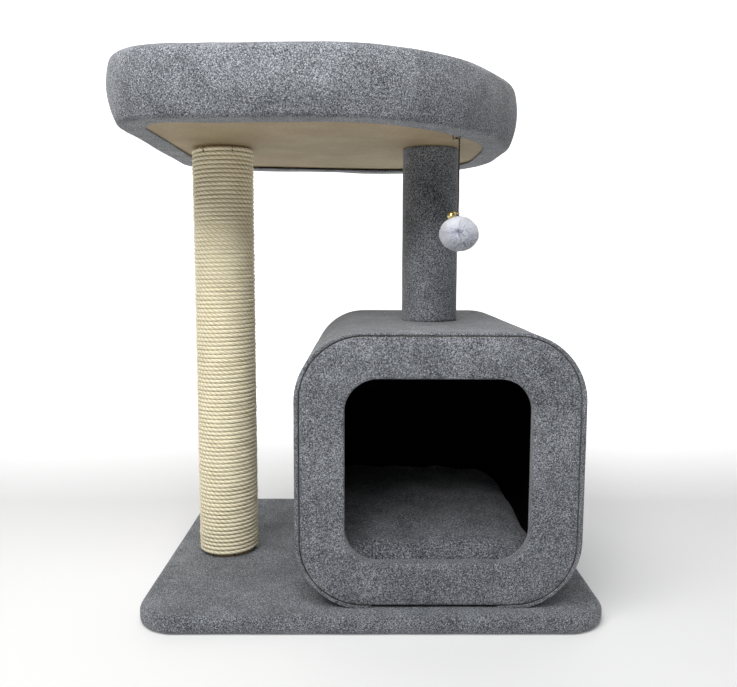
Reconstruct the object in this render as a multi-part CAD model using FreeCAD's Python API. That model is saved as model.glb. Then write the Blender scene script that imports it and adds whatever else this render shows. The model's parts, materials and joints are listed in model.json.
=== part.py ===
import FreeCAD, Part
import math
import os

# Cat tree: a felt-covered base, a sisal scratching post, a condo with a loose cushion, a felt post on
# the condo's roof, a bolstered perch across both posts, and a pompom toy that hangs from the perch.
# Millimetres. +Z up, +X right, the front faces -Y. The origin is the middle of the base's underside.

Vector = FreeCAD.Vector
UP = Vector(0, 0, 1)

# ---- driving dimensions --------------------------------------------------------------------------

# cloth
felt = 2.0                    # every cover is cut from this felt
lining = 1.0                  # black lining inside the condo

# base
base_width = 550.0
base_depth = 432.0
base_board_thickness = 18.0
base_corner_radius = 50.0     # in plan, over the felt
base_edge_radius = 7.0        # over the felt, along the top edge
base_foot_radius = 4.0        # over the felt, along the bottom edge
base_fold = 34.0              # how far the felt is folded under
underlay_gap = 1.0
underlay_corner_radius = 22.0

# posts: stock cardboard tube
tube_radius = 35.0
tube_wall = 5.0
tube_plug_clearance = 0.1
plug_thickness = 30.0
post_y = -7.0

sisal_post_x = -198.0
sisal_post_length = 550.0
rope_diameter = 5.5
rope_flattening = 0.2         # pulled tight, the rope is this much thinner than it is round
rope_end_gap = 1.5            # bare tube at the top
rope_staple_inset = 4.4       # staples' middles, from the rope's ends
rope_staple_crown = 6.0

felt_post_x = 79.0
felt_post_seam = 1.0          # gap where the felt's edges meet, at the back
felt_post_top_gap = 0.8

# condo
condo_width = 333.0
condo_height = 322.0
condo_depth = 400.0
condo_x = 77.0
condo_front_y = -193.5
condo_corner_radius = 80.0
shell_thickness = 3.0
foot_slot_x0 = -2.0           # the shell's front edge is cut back under the mouth
foot_slot_x1 = 147.0
foot_slot_depth = 16.0
panel_thickness = 12.0
panel_recess = 0.8            # the front felt lies this far behind the rim
panel_groove = 1.2            # groove between the rim and the panel's felt
panel_fold = 20.0             # felt folded over a panel's back
mouth_width = 215.0
mouth_height = 216.0
mouth_radius = 36.0
deck_thickness = 12.0         # floor and roof boards
deck_side_gap = 0.5           # a deck stops this far short of the shell's round corners

# cushion on the condo's floor
cushion_thickness = 42.0
cushion_side_gap = 1.5
cushion_lift_gap = 0.3
cushion_edge_radius = 12.0

# perch: a polygon in plan, seen from above and listed counter-clockwise, with rounded corners
perch_corners = [(-297.0, -233.0), (61.0, -256.0), (191.5, -55.0), (190.0, 271.0), (-297.0, 207.0)]
perch_corner_radii = [88.0, 232.0, 208.0, 166.0, 86.0]
perch_board_thickness = 15.0
perch_board_inset = 17.0      # board edge, from the widest outline
perch_height = 75.0           # over the felt
perch_fold = 43.5             # inner edge of the felt folded under, from the widest outline
rim_width = 62.0
rim_bulge_radius = 95.0
rim_widest_height = 44.0      # above the felt's underside
rim_bottom_radius = 8.0
rim_top_radius = 12.0
rim_inner_radius = 18.0
pad_thickness = 20.0
pad_gap = 0.5
pad_edge_radius = 8.0

# bolts that hold the posts
post_bolt_radius = 4.0
post_bolt_length = 40.0
post_bolt_head_radius = 8.5
post_bolt_head_height = 3.0
post_washer_radius = 11.0
post_washer_thickness = 1.6
post_insert_radius = 6.0
post_insert_length = 20.0

# bolts that hold the condo
condo_bolt_radius = 3.0
condo_bolt_length = 32.0
condo_bolt_head_radius = 7.0
condo_bolt_head_height = 2.5
condo_washer_radius = 9.0
condo_washer_thickness = 1.2
deck_side_margin = 22.0       # from a deck's side edge to its bolts and screws
deck_end_margin = 33.0        # from a deck's end to its bolts
tee_nut_radius = 4.2
tee_nut_length = 10.0
tee_nut_flange_radius = 8.5
tee_nut_flange_thickness = 1.2

thread_clearance = 0.05
hole_clearance = 0.5
access_clearance = 2.0

# screws through the condo's panels
screw_radius = 1.75
screw_length = 35.0
screw_head_radius = 3.4
screw_head_height = 2.2
screw_edge = 4.2              # from the deck's inner face to the screw

# nails and staples
nail_radius = 0.8
nail_length = 16.0
nails_per_plug = 3
staple_wire = 0.9
staple_crown = 10.0
staple_leg = 9.0
cover_staple_spacing = 55.0
cover_staple_bite = 0.5       # how far a crown sinks into the felt

# toy: it hangs at the inner edge of the felt folded under the perch
toy_x = 103.5
toy_y = -113.0
cord_diameter = 1.6
cord_tail_length = 9.0        # held run along the felt's edge
cord_tail_drop = 4.5          # from the held run to the top knot
cord_tail_direction = (0.5446, 0.8387)
cord_bend_share = 0.45        # of the shorter run beside a bend, taken up by the bend
cord_hang = 82.7              # free length, top knot to lower knot
top_knot_radius = 1.1
knot_gap = 0.3
lower_knot_radius = 1.5
lower_knot_height = 2.6
pompom_radius = 24.5
pompom_half_height = 21.5
pompom_offset_x = 1.3         # the pompom hangs a little right of the cord
pompom_rise = 0.2             # how far the lower knot stands out of it
bell_radius = 4.9
bell_wall = 0.5
bell_offset_x = 8.4           # left of the cord
bell_drop = 2.6               # bell's centre below the ring
bell_slot = 0.9
bell_ring_radius = 3.0
bell_ring_wire = 0.4
bell_ring_shift = 0.7         # ring's centre left of the cord
bell_ring_height = 2.0        # above the lower knot
bell_loop_radius = 1.15
bell_loop_wire = 0.35
bell_clearance = 0.4
pea_radius = 1.5

# ---- worked out from the above -------------------------------------------------------------------

base_top = base_board_thickness + 2 * felt
board_bottom = felt
board_top = base_board_thickness + felt
tube_bore = tube_radius - tube_wall
plug_radius = tube_bore - tube_plug_clearance
perch_z = base_top + sisal_post_length
rim_z = perch_z - felt
rim_top = rim_z + perch_height
perch_board_top = perch_z + perch_board_thickness

condo_top = base_top + condo_height
condo_z = base_top + condo_height / 2
condo_back_y = condo_front_y + condo_depth
wall = felt + shell_thickness
panel_front_y = condo_front_y + panel_recess
panel_back_y = condo_back_y - panel_recess
front_panel_inside_y = panel_front_y + panel_thickness + 2 * felt
back_panel_inside_y = panel_back_y - panel_thickness - 2 * felt
floor_z = base_top + wall
floor_top = floor_z + deck_thickness
roof_top = condo_top - wall
roof_z = roof_top - deck_thickness
deck_half_width = condo_width / 2 - condo_corner_radius - deck_side_gap

os.makedirs("parts", exist_ok=True)
shapes = {}


def add(name, shape):
    """Keep a shape as a node and write it to its own file."""
    solids = shape.Solids
    shape = solids[0] if len(solids) == 1 else Part.makeCompound(solids)
    if not shape.isValid():
        print("NOT VALID", name)
    shapes[name] = shape
    shape.exportStep("parts/" + name + ".step")


# ---- shapes that several pieces are made from ----------------------------------------------------


def block(x0, x1, y0, y1, z0, z1):
    return Part.makeBox(x1 - x0, y1 - y0, z1 - z0, Vector(x0, y0, z0))


def rod(x, y, z0, z1, radius):
    return Part.makeCylinder(radius, z1 - z0, Vector(x, y, z0))


def ring(x, y, z0, z1, outer, inner):
    return rod(x, y, z0, z1, outer).cut(rod(x, y, z0 - 1, z1 + 1, inner))


def rounded_loop(corners, radii):
    """Closed wire round a convex outline, with an arc of the given radius at each corner."""
    starts = []
    arcs = []
    count = len(corners)
    for i in range(count):
        corner = corners[i]
        before = (corners[i - 1] - corner).normalize()
        after = (corners[(i + 1) % count] - corner).normalize()
        half = before.getAngle(after) / 2
        reach = radii[i] / math.tan(half)
        bisector = (before + after).normalize()
        centre = corner + bisector * (radii[i] / math.sin(half))
        start = corner + before * reach
        end = corner + after * reach
        starts.append(start)
        arcs.append((start, centre - bisector * radii[i], end))
    edges = []
    for i in range(count):
        edges.append(Part.Arc(*arcs[i]).toShape())
        edges.append(Part.LineSegment(arcs[i][2], starts[(i + 1) % count]).toShape())
    return Part.Wire(edges)


def plate(width, depth, radius, z0, z1):
    """Rounded rectangle lying flat, centred on the base."""
    x = width / 2
    y = depth / 2
    corners = [Vector(-x, -y, z0), Vector(x, -y, z0), Vector(x, y, z0), Vector(-x, y, z0)]
    return Part.Face(rounded_loop(corners, [radius] * 4)).extrude(UP * (z1 - z0))


def upright(width, height, radius, y0, y1, z=condo_z):
    """Rounded rectangle standing up across the condo, from y0 back to y1."""
    x = width / 2
    h = height / 2
    corners = [
        Vector(condo_x - x, y0, z - h),
        Vector(condo_x + x, y0, z - h),
        Vector(condo_x + x, y0, z + h),
        Vector(condo_x - x, y0, z + h),
    ]
    return Part.Face(rounded_loop(corners, [radius] * 4)).extrude(Vector(0, y1 - y0, 0))


def condo_section(inset, y0, y1):
    """The condo's own outline, drawn in by an inset."""
    width = condo_width - 2 * inset
    height = condo_height - 2 * inset
    return upright(width, height, condo_corner_radius - inset, y0, y1)


def mouth_section(inset, y0, y1):
    """The mouth's outline; an inset below 0 makes it wider."""
    width = mouth_width - 2 * inset
    height = mouth_height - 2 * inset
    return upright(width, height, mouth_radius - inset, y0, y1)


def round_edges_at(shape, z, radius):
    """Fillet the edges that lie level at height z."""
    level = []
    for edge in shape.Edges:
        box = edge.BoundBox
        if abs(box.ZMin - z) < 1e-4 and abs(box.ZMax - z) < 1e-4:
            level.append(edge)
    return shape.makeFillet(radius, level)


def perch_loop(inset, z):
    """The perch's plan outline at height z, drawn in by an inset."""
    corners = [Vector(x, y, z) for x, y in perch_corners]
    count = len(corners)
    inner = []
    for i in range(count):
        before = (corners[i - 1] - corners[i]).normalize()
        after = (corners[(i + 1) % count] - corners[i]).normalize()
        half = before.getAngle(after) / 2
        inner.append(corners[i] + (before + after).normalize() * (inset / math.sin(half)))
    return rounded_loop(inner, [radius - inset for radius in perch_corner_radii])


def perch_plate(inset, z0, z1):
    return Part.Face(perch_loop(inset, z0)).extrude(UP * (z1 - z0))


def perch_sweep(profile):
    """Carry a profile round the perch. It is a list of (inset, height) points, and an arc is given
    as a pair of points, its middle and its end."""
    pieces = []
    loop = perch_loop(0, 0)
    for edge in loop.OrderedEdges:
        start = edge.valueAt(edge.FirstParameter)
        along = edge.tangentAt(edge.FirstParameter)
        if edge.Orientation == "Reversed":
            start = edge.valueAt(edge.LastParameter)
            along = edge.tangentAt(edge.LastParameter) * -1
        inward = UP.cross(along)
        face = profile_face(profile, start, inward)
        if isinstance(edge.Curve, Part.Circle):
            turn = math.degrees(edge.Length / edge.Curve.Radius)
            pieces.append(face.revolve(edge.Curve.Center, UP, turn))
        else:
            pieces.append(face.extrude(along * edge.Length))
    return pieces[0].multiFuse(pieces[1:]).removeSplitter()


def profile_face(profile, start, inward):
    def place(point):
        return start + inward * point[0] + UP * point[1]

    edges = []
    last = profile[0]
    for step in profile[1:] + [profile[0]]:
        if isinstance(step[0], tuple):
            edges.append(Part.Arc(place(last), place(step[0]), place(step[1])).toShape())
            last = step[1]
        else:
            edges.append(Part.LineSegment(place(last), place(step)).toShape())
            last = step
    return Part.Face(Part.Wire(edges))


def rim_arc(inset, height, radius, first, last):
    """Middle and end of a profile arc; 0 degrees points out of the perch and 90 up."""
    ends = []
    for degrees in ((first + last) / 2, last):
        angle = math.radians(degrees)
        ends.append((inset - radius * math.cos(angle), height + radius * math.sin(angle)))
    return tuple(ends)


def rim_wall(skin):
    """The rim's outside, over its top and down its inner face, drawn in by the thickness of a skin."""
    widest = rim_z + rim_widest_height
    low = rim_z + rim_bottom_radius
    high = rim_top - rim_top_radius
    low_reach = rim_bulge_radius - rim_bottom_radius
    high_reach = rim_bulge_radius - rim_top_radius
    low_angle = math.degrees(math.asin((low - widest) / low_reach))
    high_angle = math.degrees(math.asin((high - widest) / high_reach))
    low_inset = rim_bulge_radius - low_reach * math.cos(math.radians(low_angle))
    high_inset = rim_bulge_radius - high_reach * math.cos(math.radians(high_angle))
    inner = rim_width - rim_inner_radius
    return [
        (low_inset, rim_z + skin),
        rim_arc(low_inset, low, rim_bottom_radius - skin, -90, low_angle),
        rim_arc(rim_bulge_radius, widest, rim_bulge_radius - skin, low_angle, high_angle),
        rim_arc(high_inset, high, rim_top_radius - skin, high_angle, 90),
        (inner, rim_top - skin),
        rim_arc(inner, rim_top - rim_inner_radius, rim_inner_radius - skin, 90, 180),
    ]


def staple(x, y, z, across, into, width=staple_crown):
    """Wire staple: the crown's middle, the way the crown runs, the way its legs point, its width."""
    across = Vector(*across).normalize()
    into = Vector(*into).normalize()
    side = across.cross(into)
    half = staple_wire / 2
    middle = Vector(x, y, z)
    corner = middle - across * (width / 2) - side * half
    crown = solid_block(corner, across * width, side * staple_wire, into * staple_wire)
    left = solid_block(corner, across * staple_wire, side * staple_wire, into * staple_leg)
    far = corner + across * (width - staple_wire)
    right = solid_block(far, across * staple_wire, side * staple_wire, into * staple_leg)
    return crown.multiFuse([left, right]).removeSplitter()


def solid_block(corner, a, b, c):
    wire = Part.makePolygon([corner, corner + a, corner + a + b, corner + b, corner])
    return Part.Face(wire).extrude(c)


def staples_round(loop, spacing, z):
    """Staples along a level wire, with their legs pointing up."""
    count = int(loop.Length / spacing)
    points = loop.discretize(Number=count + 1)
    group = []
    for i in range(count):
        along = points[i + 1] - points[i - 1 if i > 0 else count - 1]
        group.append(staple(points[i].x, points[i].y, z, (along.x, along.y, 0), (0, 0, 1)))
    return Part.makeCompound(group)


# ---- bolts that hold the posts -------------------------------------------------------------------

# the post's x, the height of its joint face, the way the bolt points into the post (1 up, -1 down),
# and the height that the bolt's head lies against
post_joints = [
    (sisal_post_x, base_top, 1, board_bottom),
    (sisal_post_x, perch_z, -1, perch_board_top),
    (felt_post_x, condo_top, 1, roof_z),
    (felt_post_x, perch_z, -1, perch_board_top),
]


def post_span(x, z, way, start, end, radius):
    """Rod on a post's axis between two distances from z, measured along the bolt."""
    low = min(z + way * start, z + way * end)
    high = max(z + way * start, z + way * end)
    return rod(x, post_y, low, high, radius)


counterbore_depth = post_bolt_head_height + post_washer_thickness
bolts = []
washers = []
inserts = []
bolt_holes = []
for x, face_z, way, seat_z in post_joints:
    head = post_span(x, seat_z, way, 0, post_bolt_head_height, post_bolt_head_radius)
    shank_end = post_bolt_head_height + post_bolt_length
    shank = post_span(x, seat_z, way, post_bolt_head_height, shank_end, post_bolt_radius)
    bolts.append(head.fuse(shank).removeSplitter())
    washer = post_span(x, seat_z, way, post_bolt_head_height, counterbore_depth, post_washer_radius)
    hole = post_span(x, seat_z, way, 0, shank_end, post_bolt_radius + thread_clearance)
    washers.append(washer.cut(hole))
    insert = post_span(x, face_z, way, 0, post_insert_length, post_insert_radius)
    inserts.append(insert.cut(hole))
    clear = post_span(x, seat_z, way, -1, shank_end + 1, post_bolt_radius + hole_clearance)
    seat = post_span(x, seat_z, way, -1, counterbore_depth, post_washer_radius + hole_clearance)
    bolt_holes.append(clear.fuse(seat))
post_holes = Part.makeCompound(bolt_holes)
add("post_bolts", Part.makeCompound(bolts))
add("post_washers", Part.makeCompound(washers))
add("post_threaded_inserts", Part.makeCompound(inserts))

# ---- bolts that hold the condo down --------------------------------------------------------------

deck_hole_reach = deck_half_width - deck_side_margin
condo_bolt_places = []
for x in (condo_x - deck_hole_reach, condo_x + deck_hole_reach):
    for y in (front_panel_inside_y + deck_end_margin, back_panel_inside_y - deck_end_margin):
        condo_bolt_places.append((x, y))

condo_washer_z = board_bottom + condo_bolt_head_height
condo_seat_top = condo_washer_z + condo_washer_thickness
flange_z = floor_top - tee_nut_flange_thickness
bolts = []
washers = []
nuts = []
condo_holes = []
nut_holes = []
access_holes = [rod(sisal_post_x, post_y, -1, felt + 1, post_washer_radius + access_clearance)]
for x, y in condo_bolt_places:
    head = rod(x, y, board_bottom, condo_washer_z, condo_bolt_head_radius)
    shank = rod(x, y, condo_washer_z, condo_washer_z + condo_bolt_length, condo_bolt_radius)
    bolts.append(head.fuse(shank).removeSplitter())
    hole_radius = condo_bolt_radius + thread_clearance
    washers.append(ring(x, y, condo_washer_z, condo_seat_top, condo_washer_radius, hole_radius))
    barrel = rod(x, y, flange_z - tee_nut_length, flange_z, tee_nut_radius)
    flange = rod(x, y, flange_z, floor_top, tee_nut_flange_radius)
    nut = barrel.fuse(flange).removeSplitter()
    nut_holes.append(nut)
    nuts.append(nut.cut(rod(x, y, 0, floor_top + 1, hole_radius)))
    clear = rod(x, y, 0, floor_top - 1, condo_bolt_radius + hole_clearance)
    seat = rod(x, y, 0, condo_seat_top, condo_washer_radius + hole_clearance)
    condo_holes.append(clear.fuse(seat))
    access_holes.append(rod(x, y, -1, felt + 1, condo_washer_radius + access_clearance))
condo_holes = Part.makeCompound(condo_holes)
add("condo_bolts", Part.makeCompound(bolts))
add("condo_washers", Part.makeCompound(washers))
add("condo_tee_nuts", Part.makeCompound(nuts))

# ---- base: a board wrapped in felt, with a backing sheet inside the fold -------------------------


def base_block(skin, z0, z1):
    """The base's outline drawn in by the thickness of a skin, with its level edges rounded."""
    width = base_width - 2 * skin
    depth = base_depth - 2 * skin
    shape = plate(width, depth, base_corner_radius - skin, z0, z1)
    shape = round_edges_at(shape, z1, base_edge_radius - skin)
    return round_edges_at(shape, z0, base_foot_radius - skin)


underlay_width = base_width - 2 * (base_fold + underlay_gap)
underlay_depth = base_depth - 2 * (base_fold + underlay_gap)
base_board = base_block(felt, board_bottom, board_top)
fold_gap = plate(
    underlay_width + 2 * underlay_gap,
    underlay_depth + 2 * underlay_gap,
    underlay_corner_radius + underlay_gap,
    -1,
    felt,
)
base_cover = base_block(0, 0, base_top).cut(base_board).cut(fold_gap)
for holes in (post_holes, condo_holes):
    base_board = base_board.cut(holes)
    base_cover = base_cover.cut(holes)
underlay = plate(underlay_width, underlay_depth, underlay_corner_radius, 0, felt)
underlay = underlay.cut(Part.makeCompound(access_holes))
staple_inset = base_fold / 2
staple_line = plate(
    base_width - 2 * staple_inset,
    base_depth - 2 * staple_inset,
    base_corner_radius - staple_inset,
    0,
    1,
)
bottom_face = [face for face in staple_line.Faces if abs(face.BoundBox.ZMax) < 1e-6][0]
add("base_board", base_board)
add("base_cover", base_cover)
add("base_underlay", underlay)
add("base_cover_staples", staples_round(bottom_face.OuterWire, cover_staple_spacing, cover_staple_bite))

# ---- posts: cardboard tubes with a wooden plug in each end ---------------------------------------

posts = [
    ("sisal_post", sisal_post_x, base_top),
    ("felt_post", felt_post_x, condo_top),
]
insert_bodies = Part.makeCompound(
    [
        post_span(x, z, way, 0, post_insert_length, post_insert_radius)
        for x, z, way, seat in post_joints
    ]
)
nails = []
for name, x, foot in posts:
    tube = ring(x, post_y, foot, perch_z, tube_radius, tube_bore)
    add(name + "_tube", tube)
    plug_ends = [
        ("_lower_plug", foot, foot + plug_thickness),
        ("_upper_plug", perch_z - plug_thickness, perch_z),
    ]
    for suffix, z0, z1 in plug_ends:
        plug = rod(x, post_y, z0, z1, plug_radius).cut(post_holes).cut(insert_bodies)
        add(name + suffix, plug)
        for i in range(nails_per_plug):
            angle = 2 * math.pi * i / nails_per_plug
            outward = Vector(math.cos(angle), math.sin(angle), 0)
            start = Vector(x, post_y, (z0 + z1) / 2) + outward * tube_radius
            nails.append(Part.makeCylinder(nail_radius, nail_length, start, outward * -1))
add("plug_nails", Part.makeCompound(nails))

# ---- sisal rope: one rope wound round the tube, as a sleeve with a ridge for each turn -----------

rope_top = perch_z - rope_end_gap
rope_turns = round((rope_top - base_top) / rope_diameter)
rope_pitch = (rope_top - base_top) / rope_turns
rope_crest = tube_radius + rope_diameter - rope_flattening
rope_valley = tube_radius + rope_diameter / 2
edges = [Part.LineSegment(Vector(tube_radius, 0, base_top), Vector(rope_valley, 0, base_top)).toShape()]
for turn in range(rope_turns):
    z = base_top + turn * rope_pitch
    low = Vector(rope_valley, 0, z)
    crest = Vector(rope_crest, 0, z + rope_pitch / 2)
    high = Vector(rope_valley, 0, z + rope_pitch)
    edges.append(Part.Arc(low, crest, high).toShape())
edges.append(Part.LineSegment(high, Vector(tube_radius, 0, rope_top)).toShape())
closing = Part.LineSegment(Vector(tube_radius, 0, rope_top), Vector(tube_radius, 0, base_top))
edges.append(closing.toShape())
rope = Part.Face(Part.Wire(edges)).revolve(Vector(0, 0, 0), UP, 360)
rope.translate(Vector(sisal_post_x, post_y, 0))
add("sisal_rope", rope)

# staples over the last turns: the angle round the post and the height of each
rope_staple_low = base_top + rope_staple_inset
rope_staple_high = rope_top - rope_staple_inset
rope_staple_places = [
    (-118, rope_staple_high),
    (-62, rope_staple_high),
    (-70, rope_staple_low),
    (-112, rope_staple_low),
]
group = []
for degrees, z in rope_staple_places:
    angle = math.radians(degrees)
    outward = Vector(math.cos(angle), math.sin(angle), 0)
    place = Vector(sisal_post_x, post_y, z) + outward * rope_crest
    into = (-outward.x, -outward.y, 0)
    group.append(staple(place.x, place.y, place.z, (0, 0, 1), into, rope_staple_crown))
add("sisal_rope_staples", Part.makeCompound(group))

# ---- felt post's cover: a felt sleeve closed by a seam at the back -------------------------------

felt_post_radius = tube_radius + felt
sleeve_top = perch_z - felt_post_top_gap
sleeve = ring(felt_post_x, post_y, condo_top, sleeve_top, felt_post_radius, tube_radius)
seam_half = felt_post_seam / 2
seam_x0 = felt_post_x - seam_half
seam_x1 = felt_post_x + seam_half
seam = block(seam_x0, seam_x1, post_y, post_y + felt_post_radius + 1, condo_top - 1, sleeve_top + 1)
add("felt_post_cover", sleeve.cut(seam))

# ---- condo: a bent shell, floor and roof boards, and a panel at each end -------------------------

shell_front_y = condo_front_y + felt
shell_back_y = condo_back_y - felt
shell_outside = condo_section(felt, shell_front_y, shell_back_y)
shell_inside = condo_section(wall, condo_front_y - 1, condo_back_y + 1)
foot_slot_y = condo_front_y + foot_slot_depth
foot_slot = block(foot_slot_x0, foot_slot_x1, condo_front_y - 1, foot_slot_y, base_top - 1, floor_z)
shell = shell_outside.cut(shell_inside).cut(post_holes).cut(condo_holes)
add("condo_shell", shell.cut(foot_slot))

shell_cover = condo_section(0, condo_front_y, condo_back_y).cut(shell_outside).cut(shell_inside)
shell_cover = shell_cover.cut(post_holes).cut(condo_holes)
add("condo_shell_cover", shell_cover.cut(foot_slot))


def deck(z0, z1, skin):
    """Floor or roof board between the panels; a skin makes it thicker and wider."""
    half = deck_half_width + skin
    return block(condo_x - half, condo_x + half, front_panel_inside_y, back_panel_inside_y, z0, z1)


screws = []
for x in (condo_x - deck_hole_reach, condo_x + deck_hole_reach):
    for z in (floor_top - screw_edge, roof_z + screw_edge):
        for start_y, way in ((panel_front_y + felt, 1), (panel_back_y - felt, -1)):
            start = Vector(x, start_y, z)
            along = Vector(0, way, 0)
            screw = Part.makeCylinder(screw_radius, screw_length, start, along)
            head = Part.makeCone(screw_head_radius, screw_radius, screw_head_height, start, along)
            screws.append(screw.fuse(head).removeSplitter())
screws = Part.makeCompound(screws)
add("condo_panel_screws", screws)

tee_nuts_whole = Part.makeCompound(nut_holes)
floor_board = deck(floor_z, floor_top, 0).cut(condo_holes).cut(tee_nuts_whole).cut(screws)
add("condo_floor_board", floor_board)
roof_board = deck(roof_z, roof_top, 0).cut(post_holes).cut(screws)
add("condo_roof_board", roof_board)


def panel(front_y, back_y, skin):
    """A panel's outline between two planes; the board is the panel over its felt, less the felt."""
    return condo_section(wall + panel_groove + skin, front_y, back_y)


def panel_cover(outer_y, inner_y, board, opening_inset):
    """Felt over one face, wrapped round the edges and folded over the other face."""
    low = min(outer_y, inner_y)
    high = max(outer_y, inner_y)
    cover = panel(low, high, 0).cut(board)
    way = 1 if inner_y > outer_y else -1
    bare_low = min(inner_y - way * felt, inner_y + way)
    bare_high = max(inner_y - way * felt, inner_y + way)
    bare = panel(bare_low, bare_high, panel_fold)
    if opening_inset is not None:
        cover = cover.cut(mouth_section(opening_inset, low - 1, high + 1))
        bare = bare.cut(mouth_section(-panel_fold, bare_low - 1, bare_high + 1))
    return cover.cut(bare)


front_board_y = panel_front_y + felt
front_board = panel(front_board_y, front_board_y + panel_thickness, felt)
front_board = front_board.cut(mouth_section(-felt, front_board_y - 1, front_panel_inside_y))
front_cover = panel_cover(panel_front_y, front_panel_inside_y, front_board, 0)
add("condo_front_panel", front_board.cut(screws))
add("condo_front_cover", front_cover.cut(screws))

back_board_y = panel_back_y - felt
back_board = panel(back_board_y - panel_thickness, back_board_y, felt)
back_cover = panel_cover(panel_back_y, back_panel_inside_y, back_board, None)
add("condo_back_panel", back_board.cut(screws))
add("condo_back_cover", back_cover.cut(screws))

# lining: black cloth against the shell and over the inner faces of both decks
cavity = condo_section(wall, front_panel_inside_y, back_panel_inside_y)
cavity = cavity.cut(deck(floor_z - 1, floor_top, 0)).cut(deck(roof_z, roof_top + 1, 0))
lined = condo_section(wall + lining, front_panel_inside_y, back_panel_inside_y)
lined = lined.cut(deck(floor_z - 1, floor_top + lining, lining))
lined = lined.cut(deck(roof_z - lining, roof_top + 1, lining))
add("condo_lining", cavity.cut(lined))
back_lining_y = back_panel_inside_y - lining
back_lining = condo_section(wall + lining, back_lining_y, back_panel_inside_y)
add("condo_back_lining", back_lining.common(lined))

# ---- cushion: a felt cover over a soft filling, loose on the condo's floor -----------------------


def cushion(skin):
    """The cushion drawn in by the thickness of a skin; it fills the condo from side to side."""
    y0 = front_panel_inside_y + cushion_side_gap + skin
    y1 = back_lining_y - cushion_side_gap - skin
    z0 = floor_top + lining + cushion_lift_gap + skin
    z1 = floor_top + lining + cushion_lift_gap + cushion_thickness - skin
    side = condo_section(wall + lining + cushion_side_gap + skin, y0, y1)
    shape = side.common(block(condo_x - condo_width, condo_x + condo_width, y0, y1, z0, z1))
    return round_edges_at(shape, z1, cushion_edge_radius - skin)


filling = cushion(felt)
add("condo_cushion_filling", filling)
add("condo_cushion_cover", cushion(0).cut(filling))

# ---- perch: a board with a foam rim and a padded seat, under felt --------------------------------

perch_board_whole = perch_plate(perch_board_inset, perch_z, perch_board_top)
add("perch_board", perch_board_whole.cut(post_holes))

foam_edge = [
    (rim_width - felt, perch_board_top),
    (perch_board_inset, perch_board_top),
    (perch_board_inset, perch_z),
]
rim_foam = perch_sweep(rim_wall(felt) + foam_edge)
add("perch_rim_foam", rim_foam)

cover_edge = [
    (rim_width, perch_board_top),
    (perch_fold, perch_board_top),
    (perch_fold, rim_z),
]
perch_cover = perch_sweep(rim_wall(0) + cover_edge).cut(rim_foam).cut(perch_board_whole)
add("perch_cover", perch_cover)

pad_top = perch_board_top + pad_thickness
pad_outside = perch_plate(rim_width + pad_gap, perch_board_top, pad_top)
pad_outside = round_edges_at(pad_outside, pad_top, pad_edge_radius)
pad_foam = perch_plate(rim_width + pad_gap + felt, perch_board_top, pad_top - felt)
pad_foam = round_edges_at(pad_foam, pad_top - felt, pad_edge_radius - felt)
add("perch_pad_foam", pad_foam)
add("perch_pad_cover", pad_outside.cut(pad_foam))

perch_staple_line = perch_loop((perch_fold + perch_board_inset) / 2, 0)
perch_staples = staples_round(perch_staple_line, cover_staple_spacing, rim_z + cover_staple_bite)
add("perch_cover_staples", perch_staples)

# ---- toy: a pompom and a bell on an elastic cord -------------------------------------------------


def tube_along(points, radius):
    """Tube along straight runs joined by tangent arcs, with its radii and volume printed."""
    arcs = []
    for i in range(1, len(points) - 1):
        before = points[i - 1] - points[i]
        after = points[i + 1] - points[i]
        turn = math.pi - before.getAngle(after)
        shorter = min(before.Length, after.Length)
        bend = cord_bend_share * shorter / math.tan(turn / 2)
        reach = bend * math.tan(turn / 2)
        centre_way = (before.normalize() + after.normalize()).normalize()
        centre = points[i] + centre_way * (bend / math.cos(turn / 2))
        arcs.append((points[i] + before * reach, centre - centre_way * bend, points[i] + after * reach))
        print("  bend radius", round(bend, 2), "mm, cord", 2 * radius, "mm")
    edges = []
    last = points[0]
    for start, middle, end in arcs:
        edges.append(Part.LineSegment(last, start).toShape())
        edges.append(Part.Arc(start, middle, end).toShape())
        last = end
    edges.append(Part.LineSegment(last, points[-1]).toShape())
    path = Part.Wire(edges)
    section = Part.Wire([Part.Circle(points[0], points[1] - points[0], radius).toShape()])
    shape = path.makePipeShell([section], True, False)
    expected = math.pi * radius**2 * path.Length
    print("  length", round(path.Length, 2), "volume ratio", round(shape.Volume / expected, 4))
    return shape


cord_radius = cord_diameter / 2
cord_level = rim_z - cord_radius - staple_wire / 2
edge_way = Vector(cord_tail_direction[0], cord_tail_direction[1], 0)
bend_point = Vector(toy_x, toy_y, cord_level)
tail_start = bend_point - edge_way * cord_tail_length
tail_end = bend_point - UP * cord_tail_drop
print("cord tail")
add("toy_cord_tail", tube_along([tail_start, bend_point, tail_end], cord_radius))

# the staple lies across the held end of the cord
staple_place = tail_start + edge_way * (2 * staple_wire) - UP * (cord_radius + staple_wire)
staple_across = UP.cross(edge_way)
holder = staple(
    staple_place.x,
    staple_place.y,
    staple_place.z,
    (staple_across.x, staple_across.y, 0),
    (0, 0, 1),
)
add("toy_staple", holder)

pivot = tail_end - UP * (top_knot_radius + knot_gap)
add("toy_top_knot", Part.makeSphere(top_knot_radius, pivot))

cord_top = pivot - UP * (top_knot_radius + knot_gap)
knot_top = cord_top - UP * cord_hang
print("hanging cord", round(cord_hang, 1), "mm, straight under the pompom's weight")
add("toy_cord", rod(toy_x, toy_y, knot_top.z, cord_top.z, cord_radius))

knot = rod(toy_x, toy_y, knot_top.z - lower_knot_height, knot_top.z, lower_knot_radius)
add("toy_lower_knot", round_edges_at(knot, knot_top.z, lower_knot_radius - cord_radius))

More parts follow.
